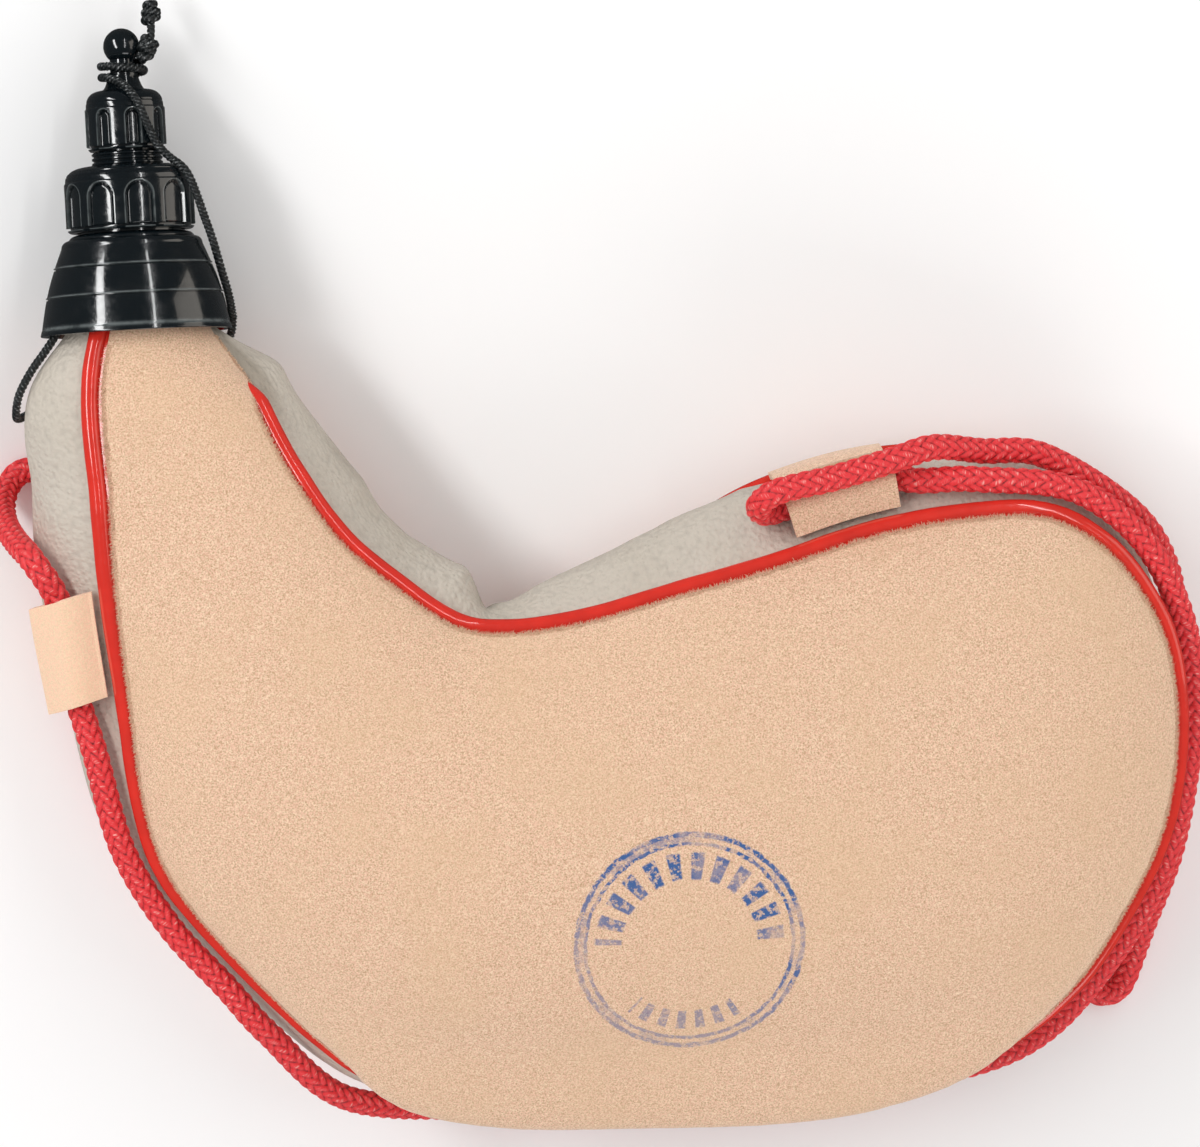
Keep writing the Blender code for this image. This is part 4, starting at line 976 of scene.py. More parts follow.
def soften(grid, along, across, spacing):
    """Takes the corner out of the gusset where it leaves the cone on the right."""
    reach = int(0.016 / spacing)
    blur = np.exp(-np.linspace(-2, 2, 2 * reach + 1) ** 2)
    padded = np.concatenate([np.repeat(grid[:1], reach, axis=0), grid, np.repeat(grid[-1:], reach, axis=0)])
    soft = sum(w * padded[k : k + len(grid)] for k, w in enumerate(blur / blur.sum()))
    most = smoothstep((along - 0.925) / 0.025) * smoothstep((0.990 - along) / 0.012)
    weight = most * smoothstep(np.sin(math.pi * across) / 0.6)
    return grid + (soft - grid) * weight[..., None]


def make_gusset():
    rows = 48
    edge = PIPING_RADIUS * 0.9
    coarse = [spaced(c, rows, edge * (1 - low), edge) for c, low in zip(gusset_curves, sunk)]
    coarse = np.array(coarse)
    dense = np.interp(np.arange(0, len(coarse) - 1 + 1e-9, 1 / 3), np.arange(len(coarse)), np.arange(len(coarse)))
    low = np.minimum(dense.astype(int), len(coarse) - 2)
    part = (dense - low)[:, None, None]
    grid = coarse[low] * (1 - part) + coarse[low + 1] * part
    run = np.interp(dense, np.arange(len(coarse)), seam_run)[:, None]
    along = run / gusset_length
    across = np.linspace(0, 1, rows)[None]
    grid = soften(grid, along, across, gusset_length / len(grid))
    v = across * 0.06
    free = np.sin(math.pi * across) ** 0.7
    lift = 0.0004 * wrinkle(run, v * 1.6, 8, 0.010) + 0.00025 * wrinkle(run, v, 21, 0.0035)
    gather = np.sin(run / 0.00105 + 3 * np.sin(run / 0.011)) * (0.6 + 0.4 * np.sin(run / 0.0063 + 1))
    lift = lift * free + 0.00022 * gather * np.exp(-across * 0.06 / 0.005) * free**0.3
    inside = smoothstep((run - 0.012) / 0.02) * smoothstep((run[-1] - run - 0.012) / 0.02)
    lift = lift * inside + swell(along, across)
    # painted shade in the folds beside the seam, passed to the sheet's finish
    shade = 0
    for place_share, half, middle, reach, deep in SHADE_SHARES:
        near = np.exp(-(((along - place_share) / half) ** 2) - ((across - middle) / reach) ** 2)
        shade = np.maximum(shade, deep * near)
    obj = grid_object("gusset_sheet", shaped(grid, -lift), sheet, relief=shade)
    solidify(obj, GUSSET_SHEET)
    return place(obj, "bag", "sheet", "gusset"), coarse


def make_liner():
    over = np.array([spaced(c, 14)[::-1] for c in front_curves])
    side = np.array([spaced(c, 24) for c in gusset_curves])
    across = np.linspace(0, 1, 24)[None]
    side = soften(side, seam_share[:, None], across, gusset_length / len(side))
    side = shaped(side, -1.2 * swell(seam_share[:, None], across))
    under = np.array([spaced(c, 10) for c in back_curves])
    grid = np.concatenate([over, side[:, 1:], under[:, 1:]], axis=1)
    obj = grid_object("liner_bladder", grid, latex)
    shape = bmesh.new()
    shape.from_mesh(obj.data)
    shape.normal_update()
    for vertex, move in [(v, v.normal * -LINER_INSET) for v in shape.verts]:
        vertex.co += move
    shape.to_mesh(obj.data)
    shape.free()
    solidify(obj, LINER_WALL)
    return place(obj, "bag", "latex", "liner")


def make_pipings():
    for name, column in (("front_piping", 0), ("back_piping", -1)):
        line = gusset_curves[:, column].copy()
        if column == 0:
            line += to_axis
        line = line[RINGS - 6 : len(gusset_curves) - RINGS + 6]
        obj = plain_tube(name + "_vinyl", line, PIPING_RADIUS, vinyl, sway=0.02)
        place(obj, "bag", "vinyl", name)
    kept = slice(RINGS - 6, len(gusset_curves) - RINGS + 6)
    flange = np.array([at_distances(c, distances(c), FLANGE) for c in front_curves]) + to_axis[:, None]
    flange = shaped(flange[kept], np.full((len(flange[kept]), len(FLANGE)), FLANGE_DROP))
    obj = grid_object("front_piping_flange", flange, vinyl, flip=True)
    solidify(obj, PANEL_LEATHER / 4)
    place(obj, "bag", "vinyl")


FLANGE = PIPING_RADIUS * np.linspace(0.5, 2.5, 7)
FLANGE_DROP = -0.00035

front_panel, front_grid = make_front()
make_back()
gusset_piece, gusset_grid = make_gusset()
make_liner()
make_pipings()


class Gusset:
    """The gusset's outside, addressed by share of its length and share of its width."""

    def __init__(self):
        self.columns = gusset_curves
        self.run = seam_share

    def curve(self, along):
        at = np.interp(along, self.run, np.arange(len(self.run)))
        low = min(int(at), len(self.columns) - 2)
        return self.columns[low] + (self.columns[low + 1] - self.columns[low]) * (at - low)

    def point(self, along, across):
        curve = self.curve(along)
        run = distances(curve)
        return at_distances(curve, run, [across * run[-1]])[0]

    def place(self, along, across, lift):
        small = 0.01
        a = self.point(along + small, across) - self.point(along - small, across)
        b = self.point(along, min(across + small, 1)) - self.point(along, max(across - small, 0))
        away = np.cross(b, a)
        return self.point(along, across) + away / np.linalg.norm(away) * lift


gusset = Gusset()
CORD_SHADOW_SHARES = (0.24, 0.11)  # where across a keeper the cord's shadow is painted, and how wide


def make_keeper(name, shader, slot, along, highest, slant, cord_shadow=0.0):
    rise = 2 * (CORD_RADIUS + CORD_CLEARANCE)
    half = KEEPER_WIDTH / 2 / gusset_length
    columns = []
    for spot in np.linspace(along - half, along + half, 17):
        width = distances(gusset.curve(spot))[-1]
        edge = (PIPING_RADIUS + SEAM_CLEARANCE) / width
        column = []
        for across in np.linspace(edge, 1 - edge, 61):
            off = min(abs(across - highest) / KEEPER_ARCH_SHARE, 1)
            arch = rise * smoothstep((1 - off) * KEEPER_TOP_SHARE)
            arch *= smoothstep((across - edge) / KEEPER_EDGE_SHARE)
            lift = SEAM_CLEARANCE + KEEPER_LEATHER + arch
            column.append(gusset.place(spot + slant * (across - highest), across, lift))
        columns.append(column)
    # painted shadow of the upper cord strand across the keeper
    off = (np.linspace(0, 1, 61) - CORD_SHADOW_SHARES[0]) / CORD_SHADOW_SHARES[1]
    marks = np.repeat(cord_shadow * np.exp(-(off**2))[None], len(columns), axis=0)
    obj = grid_object(name + "_strap", np.array(columns), shader, relief=marks)
    solidify(obj, KEEPER_LEATHER)
    bevel = obj.modifiers.new("worn edges", "BEVEL")
    bevel.width = 0.0004
    bevel.segments = 2
    bevel.limit_method = "ANGLE"
    return place(obj, "bag", slot, name)


make_keeper("left_keeper", grain_leather, "suede", *LEFT_KEEPER_SHARES)
make_keeper("right_keeper", suede, "suede", *RIGHT_KEEPER_SHARES, cord_shadow=0.9)

# Fuzz on the cut edge of the front panel, over the piping


def make_fringe():
    vertices, faces = [], []
    first = RINGS + 2
    count = 17000
    spots = chance.uniform(seam_run[first], seam_run[-first], count)
    for spot in spots:
        at = np.interp(spot, seam_run, np.arange(len(seam_run)))
        j = int(at)
        edge = front_grid[j, 0] + (front_grid[j + 1, 0] - front_grid[j, 0]) * (at - j)
        inner = front_grid[j, 3] + (front_grid[j + 1, 3] - front_grid[j, 3]) * (at - j)
        outward = edge - inner
        outward /= np.linalg.norm(outward)
        along = front_grid[j + 1, 0] - front_grid[j, 0]
        along /= np.linalg.norm(along)
        away = np.cross(along, outward)
        away *= np.sign(away[2])
        length = chance.uniform(0.0003, 0.0009) + abs(chance.normal(0, 0.0003))
        width = chance.uniform(0.00003, 0.00008)
        base = edge - outward * chance.uniform(0.0, 0.0012) + away * 0.00005
        tip = base + outward * length + along * chance.normal(0, 0.0004) + away * chance.uniform(0.0, 0.0005)
        middle = (base + tip) / 2 + away * length * 0.15
        start = len(vertices)
        for centre, size in ((base, 1.0), (middle, 0.7)):
            vertices += [centre + along * width * size, centre - along * width * size, centre + away * width * size]
        vertices.append(tip)
        for k in range(3):
            n = (k + 1) % 3
            faces.append((start + k, start + n, start + 3 + n, start + 3 + k))
            faces.append((start + 3 + k, start + 3 + n, start + 6))
    mesh = bpy.data.meshes.new("edge_fuzz")
    mesh.from_pydata([tuple(v) for v in vertices], [], faces)
    mesh.materials.append(suede)
    obj = bpy.data.objects.new("edge_fuzz", mesh)
    bpy.context.scene.collection.objects.link(obj)
    place(obj, "bag", "suede")


make_fringe()

# Nozzle


def arc(centre, radius, first, last, steps=8):
    turn = np.radians(np.linspace(first, last, steps + 1))
    return [(centre[0] + radius * math.cos(t), centre[1] + radius * math.sin(t)) for t in turn]


def rounded(points, radius, closed):
    """A profile with its corners rounded."""
    made = []
    count = len(points)
    for k in range(count):
        p = np.array(points[k])
        if not closed and k in (0, count - 1):
            made.append(p)
            continue
        a = np.array(points[k - 1]) - p
        b = np.array(points[(k + 1) % count]) - p
        long_a, long_b = np.linalg.norm(a), np.linalg.norm(b)
        cosine = np.dot(a, b) / max(long_a * long_b, 1e-12)
        if cosine < -0.93 or min(long_a, long_b) < 1e-7:
            made.append(p)
            continue
        back = min(radius, long_a * 0.45, long_b * 0.45)
        start, end = p + a / long_a * back, p + b / long_b * back
        for t in np.linspace(0, 1, 5):
            made.append(start * (1 - t) ** 2 + p * 2 * t * (1 - t) + end * t * t)
    return made


def turned(name, profile, shader, closed=True, steps=160, carve=None, longest=0.001, sharp=35, wear_and_painted_highlight=None):
    """A turned piece on the neck's axis. carve changes the radius, given height and angle; the other function, if
    given, marks its edges with painted highlights.
    """
    points = [np.array(p) for p in profile]
    if closed:
        points.append(points[0])
    fine = [points[0]]
    for a, b in zip(points, points[1:]):
        pieces = max(1, math.ceil(np.linalg.norm(b - a) / longest))
        fine += [a + (b - a) * k / pieces for k in range(1, pieces + 1)]
    fine = np.array(fine)
    angle = np.linspace(0, 2 * math.pi, steps, endpoint=False)
    radius = np.repeat(fine[:, :1], steps, axis=1)
    height = np.repeat(fine[:, 1:], steps, axis=1)
    if carve is not None:
        radius = carve(radius, height, np.repeat(angle[None], len(fine), axis=0))
    local = np.stack([radius * np.cos(angle), radius * np.sin(angle), height], axis=2)
    marks = None if wear_and_painted_highlight is None else wear_and_painted_highlight(radius, height, np.repeat(angle[None], len(fine), axis=0))
    return grid_object(name, from_neck(local), shader, closed=True, flip=True, sharp=sharp, relief=marks)


def flutes(count, skirt, width, bottom, top):
    """Carves arched recesses into the skirt of that radius."""
    half = width / 2

    def from_arch(height, angle):
        step = (angle + math.pi / 2) * count / (2 * math.pi) - 0.25
        across = ((step + 0.5) % 1 - 0.5) * 2 * math.pi / count * skirt
        over = height - (top - half)
        arch = np.where(over > 0, np.hypot(across, over), np.abs(across)) - half
        return np.maximum(arch, bottom - height)

    # painted highlight along the arches' edges
    def wear_and_painted_highlight(radius, height, angle):
        edge = np.exp(-(((from_arch(height, angle) - 0.0001) / 0.00016) ** 2))
        return edge * (radius > skirt - FLUTE_DEPTH) * (height < top + 0.0005) * 0.8

    def carve(radius, height, angle):
        outside = from_arch(height, angle)
        depth = smoothstep(-outside / FLUTE_SLOPE)
        depth += 0.55 * np.exp(-(((outside + 0.0004) / 0.00024) ** 2))
        on_skirt = (radius > skirt - FLUTE_DEPTH) & (height < top + 1e-6)
        return np.where(on_skirt, np.minimum(radius, skirt - FLUTE_DEPTH * depth), radius)

    return carve, wear_and_painted_highlight


def thread(start, end, radius, pitch, depth, inner=False):
    """Adds a right-hand ridge to a cylinder of that radius between two heights."""

    def carve(r, height, angle):
        turn = (height / pitch - angle / (2 * math.pi)) % 1
        ridge = smoothstep((0.36 - np.abs(turn - 0.5)) / 0.16)
        fade = smoothstep((height - start) / pitch) * smoothstep((end - height) / pitch)
        on = np.abs(r - radius) < 1e-6
        sign = -1 if inner else 1
        return np.where(on, r + sign * depth * ridge * fade, r)

    return carve


def both(*carves):
    def carve(radius, height, angle):
        for one in carves:
            radius = one(radius, height, angle)
        return radius

    return carve


def make_base():
    top = BASE_HEIGHT + BASE_NECK_HEIGHT
    corner = (BASE_SHOULDER_RADIUS - BASE_ROUNDING, BASE_HEIGHT - BASE_ROUNDING)
    cone_top = BASE_HEIGHT - BASE_ROUNDING
    lip_radius = BASE_RIM_RADIUS - BASE_GROOVE
    side = []
    for share in np.linspace(0, 1, 49):
        height = cone_top + (BASE_LIP - cone_top) * share
        radius = BASE_SHOULDER_RADIUS + (lip_radius - BASE_SHOULDER_RADIUS) * share
        radius += BASE_BARREL * math.sin(math.pi * share)
        side.append((radius, height))
    side = np.array(side)
    grooved = [tuple(p) for p in side]
    for share in BASE_RING_SHARES:
        at = BASE_HEIGHT * share
        grooved = [p for p in grooved if abs(p[1] - at) > 1.35 * BASE_GROOVE]
        for step, depth in ((1.3, 0), (1.0, -0.6), (0.65, -0.6), (0.35, 0.9), (-0.35, 0.9), (-0.6, 0), (-1.3, 0)):
            height = at + step * BASE_GROOVE
            radius = np.interp(height, side[::-1, 1], side[::-1, 0])
            grooved.append((radius - depth * BASE_GROOVE, height))
        grooved = sorted(grooved, key=lambda p: -p[1])
    inner = BASE_WALL
    crown = COLLAR_SEAT_GAP * 0.75
    crown_width = corner[0] - BASE_NECK_RADIUS - 0.0001
    rise = np.linspace(0.1, math.pi / 2, 9)
    profile = [
        *rounded([(BORE_RADIUS, top), (BASE_NECK_RADIUS, top), (BASE_NECK_RADIUS, BASE_HEIGHT + crown)], CORNER, False)[1:],
        *[(BASE_NECK_RADIUS + crown_width * math.sin(t), BASE_HEIGHT + crown * math.cos(t)) for t in rise],
        *arc(corner, BASE_ROUNDING, 90, 0)[:-1],
        *grooved,
        (BASE_RIM_RADIUS - BASE_GROOVE * 0.7, BASE_LIP - BASE_GROOVE * 0.6),
        *rounded([(BASE_RIM_RADIUS, BASE_LIP), (BASE_RIM_RADIUS, 0.0), (BASE_RIM_RADIUS - inner, 0.0)], CORNER, False)[1:-1],
        (BASE_RIM_RADIUS - inner, 0.0),
        (BASE_SHOULDER_RADIUS - inner, BASE_HEIGHT - 2 * inner),
        (BORE_RADIUS, BASE_HEIGHT - 2 * inner),
        (BORE_RADIUS, top),
    ]
    screw = thread(BASE_HEIGHT + 2 * COLLAR_SEAT_GAP, top, BASE_NECK_RADIUS, BASE_PITCH, THREAD_DEPTH)

    # painted highlights on the rim's lip and the lips of the ring grooves
    def wear_and_painted_highlight(radius, height, angle):
        marks = 0.8 * np.exp(-(((height - BASE_LIP) / 0.0004) ** 2))
        for share in BASE_RING_SHARES:
            lip = BASE_HEIGHT * share + 0.85 * BASE_GROOVE
            marks = np.maximum(marks, np.exp(-(((height - lip) / 0.00022) ** 2)))
        return marks * (radius > BASE_SHOULDER_RADIUS)

    obj = turned("nozzle_cone", profile, plastic, steps=192, carve=screw, longest=0.0002, wear_and_painted_highlight=wear_and_painted_highlight)
    place(obj, "bag", "plastic", "nozzle_base")


def skirt_with_rim(radius, bottom):
    groove = radius - FLUTE_DEPTH - RUN_CLEARANCE
    return rounded(
        [
            (radius, bottom + 2 * FLUTE_RIM),
            (radius, bottom + FLUTE_RIM),
            (groove, bottom + FLUTE_RIM),
            (groove, bottom + FLUTE_RIM / 2),
            (radius - RUN_CLEARANCE, bottom + FLUTE_RIM / 2),
            (radius - FLUTE_DEPTH, bottom),
            (radius - 2 * FLUTE_DEPTH, bottom),
        ],
        CORNER / 2,
        False,
    )


FULLNESS = 0.80  # 1 would make the domes round


def dome(flange, rim, low, high, lines):
    """Profile points of a cap's domed top, with turned lines at some shares of its arc."""
    made = []
    for share in np.linspace(0, 1, 40):
        turn = math.pi / 2 * share
        out = flange + (rim - flange) * math.sin(turn) ** FULLNESS
        dip = sum(bump_at(share, line, 0.02) for line in lines) * 0.00016
        made.append((out - dip * math.sin(turn), low + (high - low) * max(math.cos(turn), 0.0) ** FULLNESS - dip * math.cos(turn)))
    return made


def make_collar():
    bottom = BASE_HEIGHT + COLLAR_SEAT_GAP
    shoulder = bottom + COLLAR_SKIRT
    dome_top = shoulder + COLLAR_DOME
    flange_top = dome_top + SPOUT_FLANGE_HEIGHT
    tip = flange_top + SPOUT_HEIGHT
    under = BASE_HEIGHT + BASE_NECK_HEIGHT + WASHER_THICKNESS + 2 * RUN_CLEARANCE
    rim = COLLAR_RADIUS - RUN_CLEARANCE
    hole = BASE_NECK_RADIUS + THREAD_PLAY
    profile = [
        *rounded([(SPOUT_JET_RADIUS, tip - CORNER), (SPOUT_JET_RADIUS, tip), (SPOUT_RADIUS, tip), (SPOUT_RADIUS, flange_top)], CORNER, False)[1:]
    ]
    for share in THREAD_RIDGE_SHARES:
        middle = flange_top - share * SPOUT_FLANGE_HEIGHT
        ridge = SPOUT_FLANGE_HEIGHT / 10
        for up, out in ((1.6, -1.6), (1, -0.5), (0.4, 0.1), (-0.4, 0.1), (-1, -0.5), (-1.6, -1.6)):
            profile.append((SPOUT_FLANGE_RADIUS + out * RUN_CLEARANCE, middle + up * ridge))
    profile += dome(SPOUT_FLANGE_RADIUS, rim, shoulder + RUN_CLEARANCE, dome_top, (0.62, 0.80))
    profile += rounded([(rim, shoulder + RUN_CLEARANCE), (COLLAR_RADIUS, shoulder), (COLLAR_RADIUS, shoulder - 2 * CORNER)], CORNER / 2, False)[1:]
    profile += [
        *skirt_with_rim(COLLAR_RADIUS, bottom)[1:],
        (hole, bottom),
        (hole, under),
        (SPOUT_BORE_RADIUS, under),
        (SPOUT_BORE_RADIUS, tip - SPOUT_TIP_WALL),
        (SPOUT_JET_RADIUS, tip - SPOUT_TIP_WALL),
        (SPOUT_JET_RADIUS, tip - CORNER),
    ]
    fluting, wear_and_painted_highlight = flutes(COLLAR_FLUTES, COLLAR_RADIUS, COLLAR_FLUTE_WIDTH, bottom + FLUTE_RIM / 2, shoulder - RUN_CLEARANCE)
    carve = both(
        fluting,
        thread(flange_top + 0.001, tip, SPOUT_RADIUS, SPOUT_PITCH, THREAD_DEPTH * 0.9),
        thread(bottom, under, hole, BASE_PITCH, THREAD_DEPTH * 0.8, inner=True),
    )
    obj = turned("collar_and_spout", profile, plastic, steps=560, carve=carve, longest=0.00026, wear_and_painted_highlight=wear_and_painted_highlight)
    place(obj, "collar", "plastic", "spout_collar")
    return flange_top, tip


def make_cap(flange_top, tip):
    bottom = flange_top + RUN_CLEARANCE
    shoulder = bottom + CAP_SKIRT
    dome_top = shoulder + CAP_DOME
    groove_bottom = dome_top + KNOB_NECK_HEIGHT
    ball_bottom = groove_bottom + KNOB_GROOVE_HEIGHT
    under = tip + WASHER_THICKNESS + 2 * RUN_CLEARANCE
    meet = math.degrees(math.asin(KNOB_GROOVE_RADIUS / KNOB_BALL_RADIUS))
    centre = ball_bottom + KNOB_BALL_RADIUS * math.cos(math.radians(meet))
    rim = CAP_RADIUS - RUN_CLEARANCE
    hole = SPOUT_RADIUS + THREAD_PLAY
    flare = smooth_curve(
        [
            (KNOB_NECK_RADIUS, groove_bottom),
            (KNOB_NECK_RADIUS, groove_bottom - KNOB_NECK_HEIGHT / 4),
            ((KNOB_NECK_RADIUS + KNOB_FLARE_RADIUS) / 2, dome_top + KNOB_NECK_HEIGHT / 4),
            (KNOB_FLARE_RADIUS, dome_top),
        ],
        6,
    )
    profile = [
        *arc((0.0, centre), KNOB_BALL_RADIUS, 90, meet - 90, 30),
        *rounded([(KNOB_GROOVE_RADIUS, ball_bottom), (KNOB_GROOVE_RADIUS, groove_bottom + RUN_CLEARANCE), (KNOB_NECK_RADIUS, groove_bottom)], CORNER, False)[1:-1],
        *flare,
    ]
    profile += dome(KNOB_FLARE_RADIUS, rim, shoulder + RUN_CLEARANCE, dome_top, (0.84,))[1:]
    profile += rounded([(rim, shoulder + RUN_CLEARANCE), (CAP_RADIUS, shoulder), (CAP_RADIUS, shoulder - 2 * CORNER)], CORNER / 2, False)[1:]
    profile += [
        *skirt_with_rim(CAP_RADIUS, bottom)[1:],
        (hole, bottom),
        (hole, under),
        (0.0, under),
    ]
    fluting, wear_and_painted_highlight = flutes(CAP_FLUTES, CAP_RADIUS, CAP_FLUTE_WIDTH, bottom + FLUTE_RIM / 2, shoulder - RUN_CLEARANCE)
    carve = both(
        fluting,
        thread(bottom, under, hole, SPOUT_PITCH, THREAD_DEPTH * 0.7, inner=True),
    )
    obj = turned("stopper_cap_fluted", profile, plastic, closed=False, steps=400, carve=carve, longest=0.00022, wear_and_painted_highlight=wear_and_painted_highlight)
    place(obj, "cap", "plastic", "stopper_cap")
    return groove_bottom


make_base()
flange_top, tip = make_collar()
groove_bottom = make_cap(flange_top, tip)

# Twine round the tied neck, inside the cone


def make_twine():
    turns = 3
    turn = np.linspace(0, 2 * math.pi * turns, 40 * turns)
    reach = NECK_THROAT_RADIUS + 2 * SEAM_CLEARANCE + TWINE_RADIUS
    start = NECK_DEPTH - SEAM_CLEARANCE - TWINE_RADIUS
    drop = (NECK_BAND_HEIGHT - 2 * TWINE_RADIUS) / (2 * math.pi * turns)
    line = np.column_stack([reach * np.cos(turn), reach * np.sin(turn), start - drop * turn])
    obj, _ = braided("neck_twine", from_neck(line), TWINE_RADIUS, twine, 3, 0.0012, 0.0005, 10)
    place(obj, "bag", "twine", "neck_band")


make_twine()

# Cords


def wraps(line, reach, turns, first, last):
    """A helix round part of a path, for the turns of a knot."""
    run = distances(line)
    wanted = np.linspace(first * run[-1], last * run[-1], int(turns * 26))
    core = at_distances(line, run, wanted)
    _, side, up = frames(core)
    turn = np.linspace(0, 2 * math.pi * turns, len(core))[:, None]
    return core + reach * (np.cos(turn) * side + np.sin(turn) * up)


def make_shoulder_cord():
    route = []
    for kind, first, second, radii in CORD_ROUTE_SHARES:
        if kind == "gusset":
            route.append(gusset.place(first, second, radii * CORD_RADIUS))
        else:
            route.append((*plan(first, second), radii * CORD_RADIUS))
    line = smooth_curve(route, CURVE_STEPS * 3)
    run = distances(line)
    trimmed = at_distances(line, run, np.linspace(CORD_RADIUS, run[-1] - CORD_RADIUS, 3200))
    weave = {"strands": 8, "lay": 0.0030, "step": 0.00036, "columns": 56, "depth": 0.28}
    cord, path = braided("shoulder_cord_braid", trimmed, CORD_RADIUS, red_braid, **weave)
    place(cord, "bag", "red_braid", "shoulder_cord")
    core = np.linspace(line[-1], line[0], 40)
    knot_path = wraps(core, CORD_RADIUS * 0.95, 2.6, 0.16, 0.84)
    knot_path = np.vstack([line[-40:-2:4], knot_path, line[2:40:4]])
    knot_path = smooth_curve(knot_path, 3)
    knot, _ = braided("shoulder_cord_knot_braid", knot_path, CORD_RADIUS * 0.86, red_braid, **weave)
    place(knot, "bag", "red_braid", "shoulder_cord_knot")


STRING_JOINS = {
    "stopper_cord_loop": (False, True),
    "stopper_cord_upper": (False, False),
    "stopper_cord_lower": (False, False),
    "stopper_cord_neck": (False, True),
}


def make_string():
    reach = KNOB_NECK_RADIUS + STRING_RADIUS + 1.5 * RUN_CLEARANCE
    start = groove_bottom - STRING_RADIUS
    turns = np.linspace(0, STRING_TURNS, 100)
    angle = -STRING_START - 2 * math.pi * turns
    winding = np.column_stack([reach * np.cos(angle), reach * np.sin(angle), start + STRING_PITCH * turns])
    fine = {"strands": 4, "lay": 0.0011, "step": 0.00012, "columns": 24, "depth": 0.40, "relief_of": twist}
    pieces = {}
    runs = (
        ("stopper_cord_loop", winding),
        ("stopper_cord_upper", smooth_curve([winding[0], *map(local_place, STRING_UPPER_SHARES)], 12)),
        ("stopper_cord_lower", smooth_curve(list(map(local_place, STRING_LOWER_SHARES)), 12)),
        ("stopper_cord_neck", smooth_curve(list(map(local_place, STRING_NECK_SHARES)), 12)),
    )
    for name, line in runs:
        world = from_neck(line)
        joined = STRING_JOINS[name]
        piece, path = braided(name + "_braid", world, STRING_RADIUS, black_braid, closed_ends=joined, **fine)
        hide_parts(name)
        pieces[name] = piece
        if name == "stopper_cord_lower":
            continue  # too short to stand by itself, so it isn't attached to a body, only baked in place below
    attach(pieces["stopper_cord_loop"], "tether")
    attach(pieces["stopper_cord_neck"], "bag")
    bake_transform(pieces["stopper_cord_upper"])
    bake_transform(pieces["stopper_cord_lower"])
    line = smooth_curve([local_place(p) for p in STRING_KNOT_SHARES], 8)
    tail, _ = braided("stopper_cord_tail", from_neck(line), STRING_RADIUS * 0.95, black_braid, **fine)
    place(tail, "tether", "black_braid", "stopper_cord_knot")
    for name, first, last, count in (("stopper_knot_big", 0.08, 0.36, 3.1), ("stopper_knot_end", 0.64, 0.90, 2.6)):
        turns = from_neck(wraps(line, STRING_RADIUS * 1.45, count, first, last))
        knot, _ = braided(name, turns, STRING_RADIUS * 1.05, black_braid, **fine)
        place(knot, "tether", "black_braid")


make_shoulder_cord()
make_string()

for name, shader in (("neck_insert", plastic), ("collar_washer", rubber), ("cap_washer", rubber)):
    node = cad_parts[name]
    for held in node.material_slots:
        held.material = shader

# Floor, light and camera

floor_finish = Finish("floor_white", (0.97, 0.97, 0.97), 1.0)
floor_finish.set("Specular IOR Level", 0.0)
floor_mesh = bpy.data.meshes.new("floor")
floor_mesh.from_pydata([(-4, -4, -0.0004), (4, -4, -0.0004), (4, 4, -0.0004), (-4, 4, -0.0004)], [], [(0, 1, 2, 3)])
floor_mesh.materials.append(floor_finish.material)
floor = bpy.data.objects.new("floor", floor_mesh)
bpy.context.scene.collection.objects.link(floor)
floor.visible_glossy = False

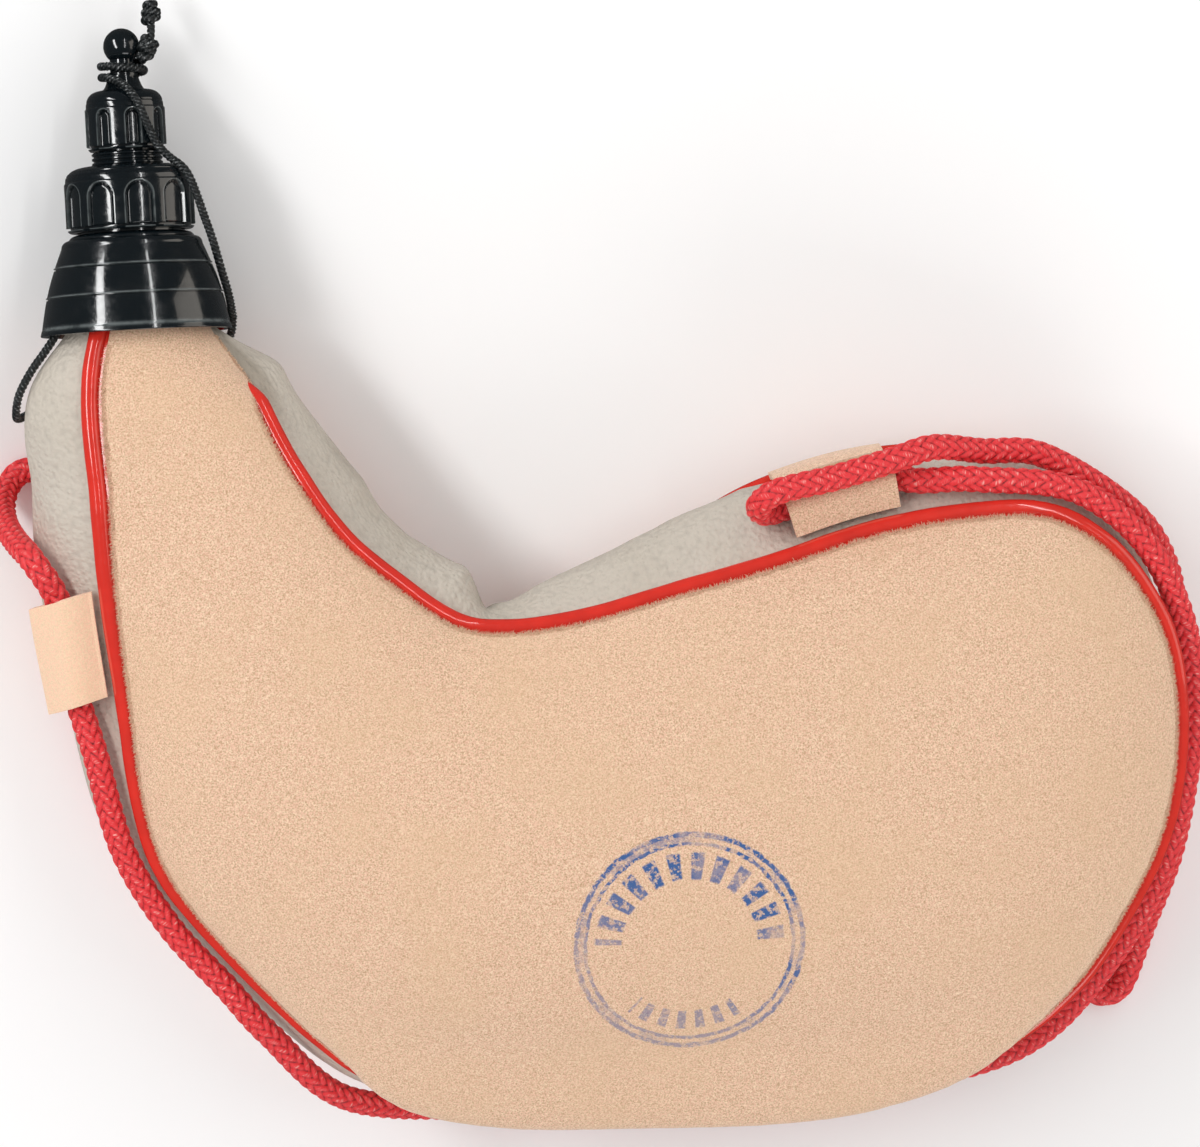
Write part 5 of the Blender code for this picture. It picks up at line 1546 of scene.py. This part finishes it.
scene = bpy.context.scene
world = bpy.data.worlds.new("studio")
scene.world = world
world.use_nodes = True
background = world.node_tree.nodes["Background"]
background.inputs["Color"].default_value = (1.0, 1.0, 1.0, 1.0)
rays = world.node_tree.nodes.new("ShaderNodeLightPath")
level = world.node_tree.nodes.new("ShaderNodeMapRange")
level.inputs["To Min"].default_value = 0.50
level.inputs["To Max"].default_value = 1.0
world.node_tree.links.new(rays.outputs["Is Camera Ray"], level.inputs["Value"])
dimmed = world.node_tree.nodes.new("ShaderNodeMapRange")
dimmed.inputs["To Min"].default_value = 1.0
dimmed.inputs["To Max"].default_value = 0.12
world.node_tree.links.new(rays.outputs["Is Glossy Ray"], dimmed.inputs["Value"])
strength = world.node_tree.nodes.new("ShaderNodeMath")
strength.operation = "MULTIPLY"
world.node_tree.links.new(level.outputs[0], strength.inputs[0])
world.node_tree.links.new(dimmed.outputs[0], strength.inputs[1])
world.node_tree.links.new(strength.outputs[0], background.inputs["Strength"])


def panel(name, where, width, length, power, along=(0.0, 1.0, 0.0), colour=(1.0, 1.0, 1.0)):
    """A soft box that looks at the bag, its long side as near to a given way as it can be."""
    lamp = bpy.data.lights.new(name, "AREA")
    lamp.shape = "RECTANGLE"
    lamp.size = width
    lamp.size_y = length
    lamp.energy = power
    lamp.color = colour
    obj = bpy.data.objects.new(name, lamp)
    scene.collection.objects.link(obj)
    back = (Vector(where) - Vector((0.0, 0.0, 0.03))).normalized()
    up = (Vector(along) - back * back.dot(Vector(along))).normalized()
    obj.matrix_world = Matrix.Translation(where) @ Matrix((up.cross(back), up, back)).transposed().to_4x4()
    return obj


panel("strip_left", (-1.18, 0.62, 1.07), 0.27, 1.7, 15.0, (-0.23, 0.79, -0.565))
panel("strip_right", (0.45, 0.78, 1.29), 0.075, 1.7, 4.2, (-0.10, 0.896, -0.431))
panel("card_right", (1.5, 0.45, 0.42), 1.1, 1.3, 5.0, colour=(1.0, 0.93, 0.84))
panel("fill_low", (0.7, -1.9, 1.4), 1.6, 1.6, 17.0)

CAMERA_PLACE = (-0.128, 0.2908, 1.6162)
CAMERA_TURN = (-10.373, -4.387, 0.875)
LENS = 204.8
lens = bpy.data.cameras.new("camera")
camera = bpy.data.objects.new("camera", lens)
scene.collection.objects.link(camera)
camera.location = CAMERA_PLACE
camera.rotation_euler = [math.radians(t) for t in CAMERA_TURN]
lens.sensor_width = 36
lens.lens = LENS
lens.clip_start = 0.05
lens.clip_end = 50
scene.camera = camera
scene.view_settings.view_transform = "Standard"
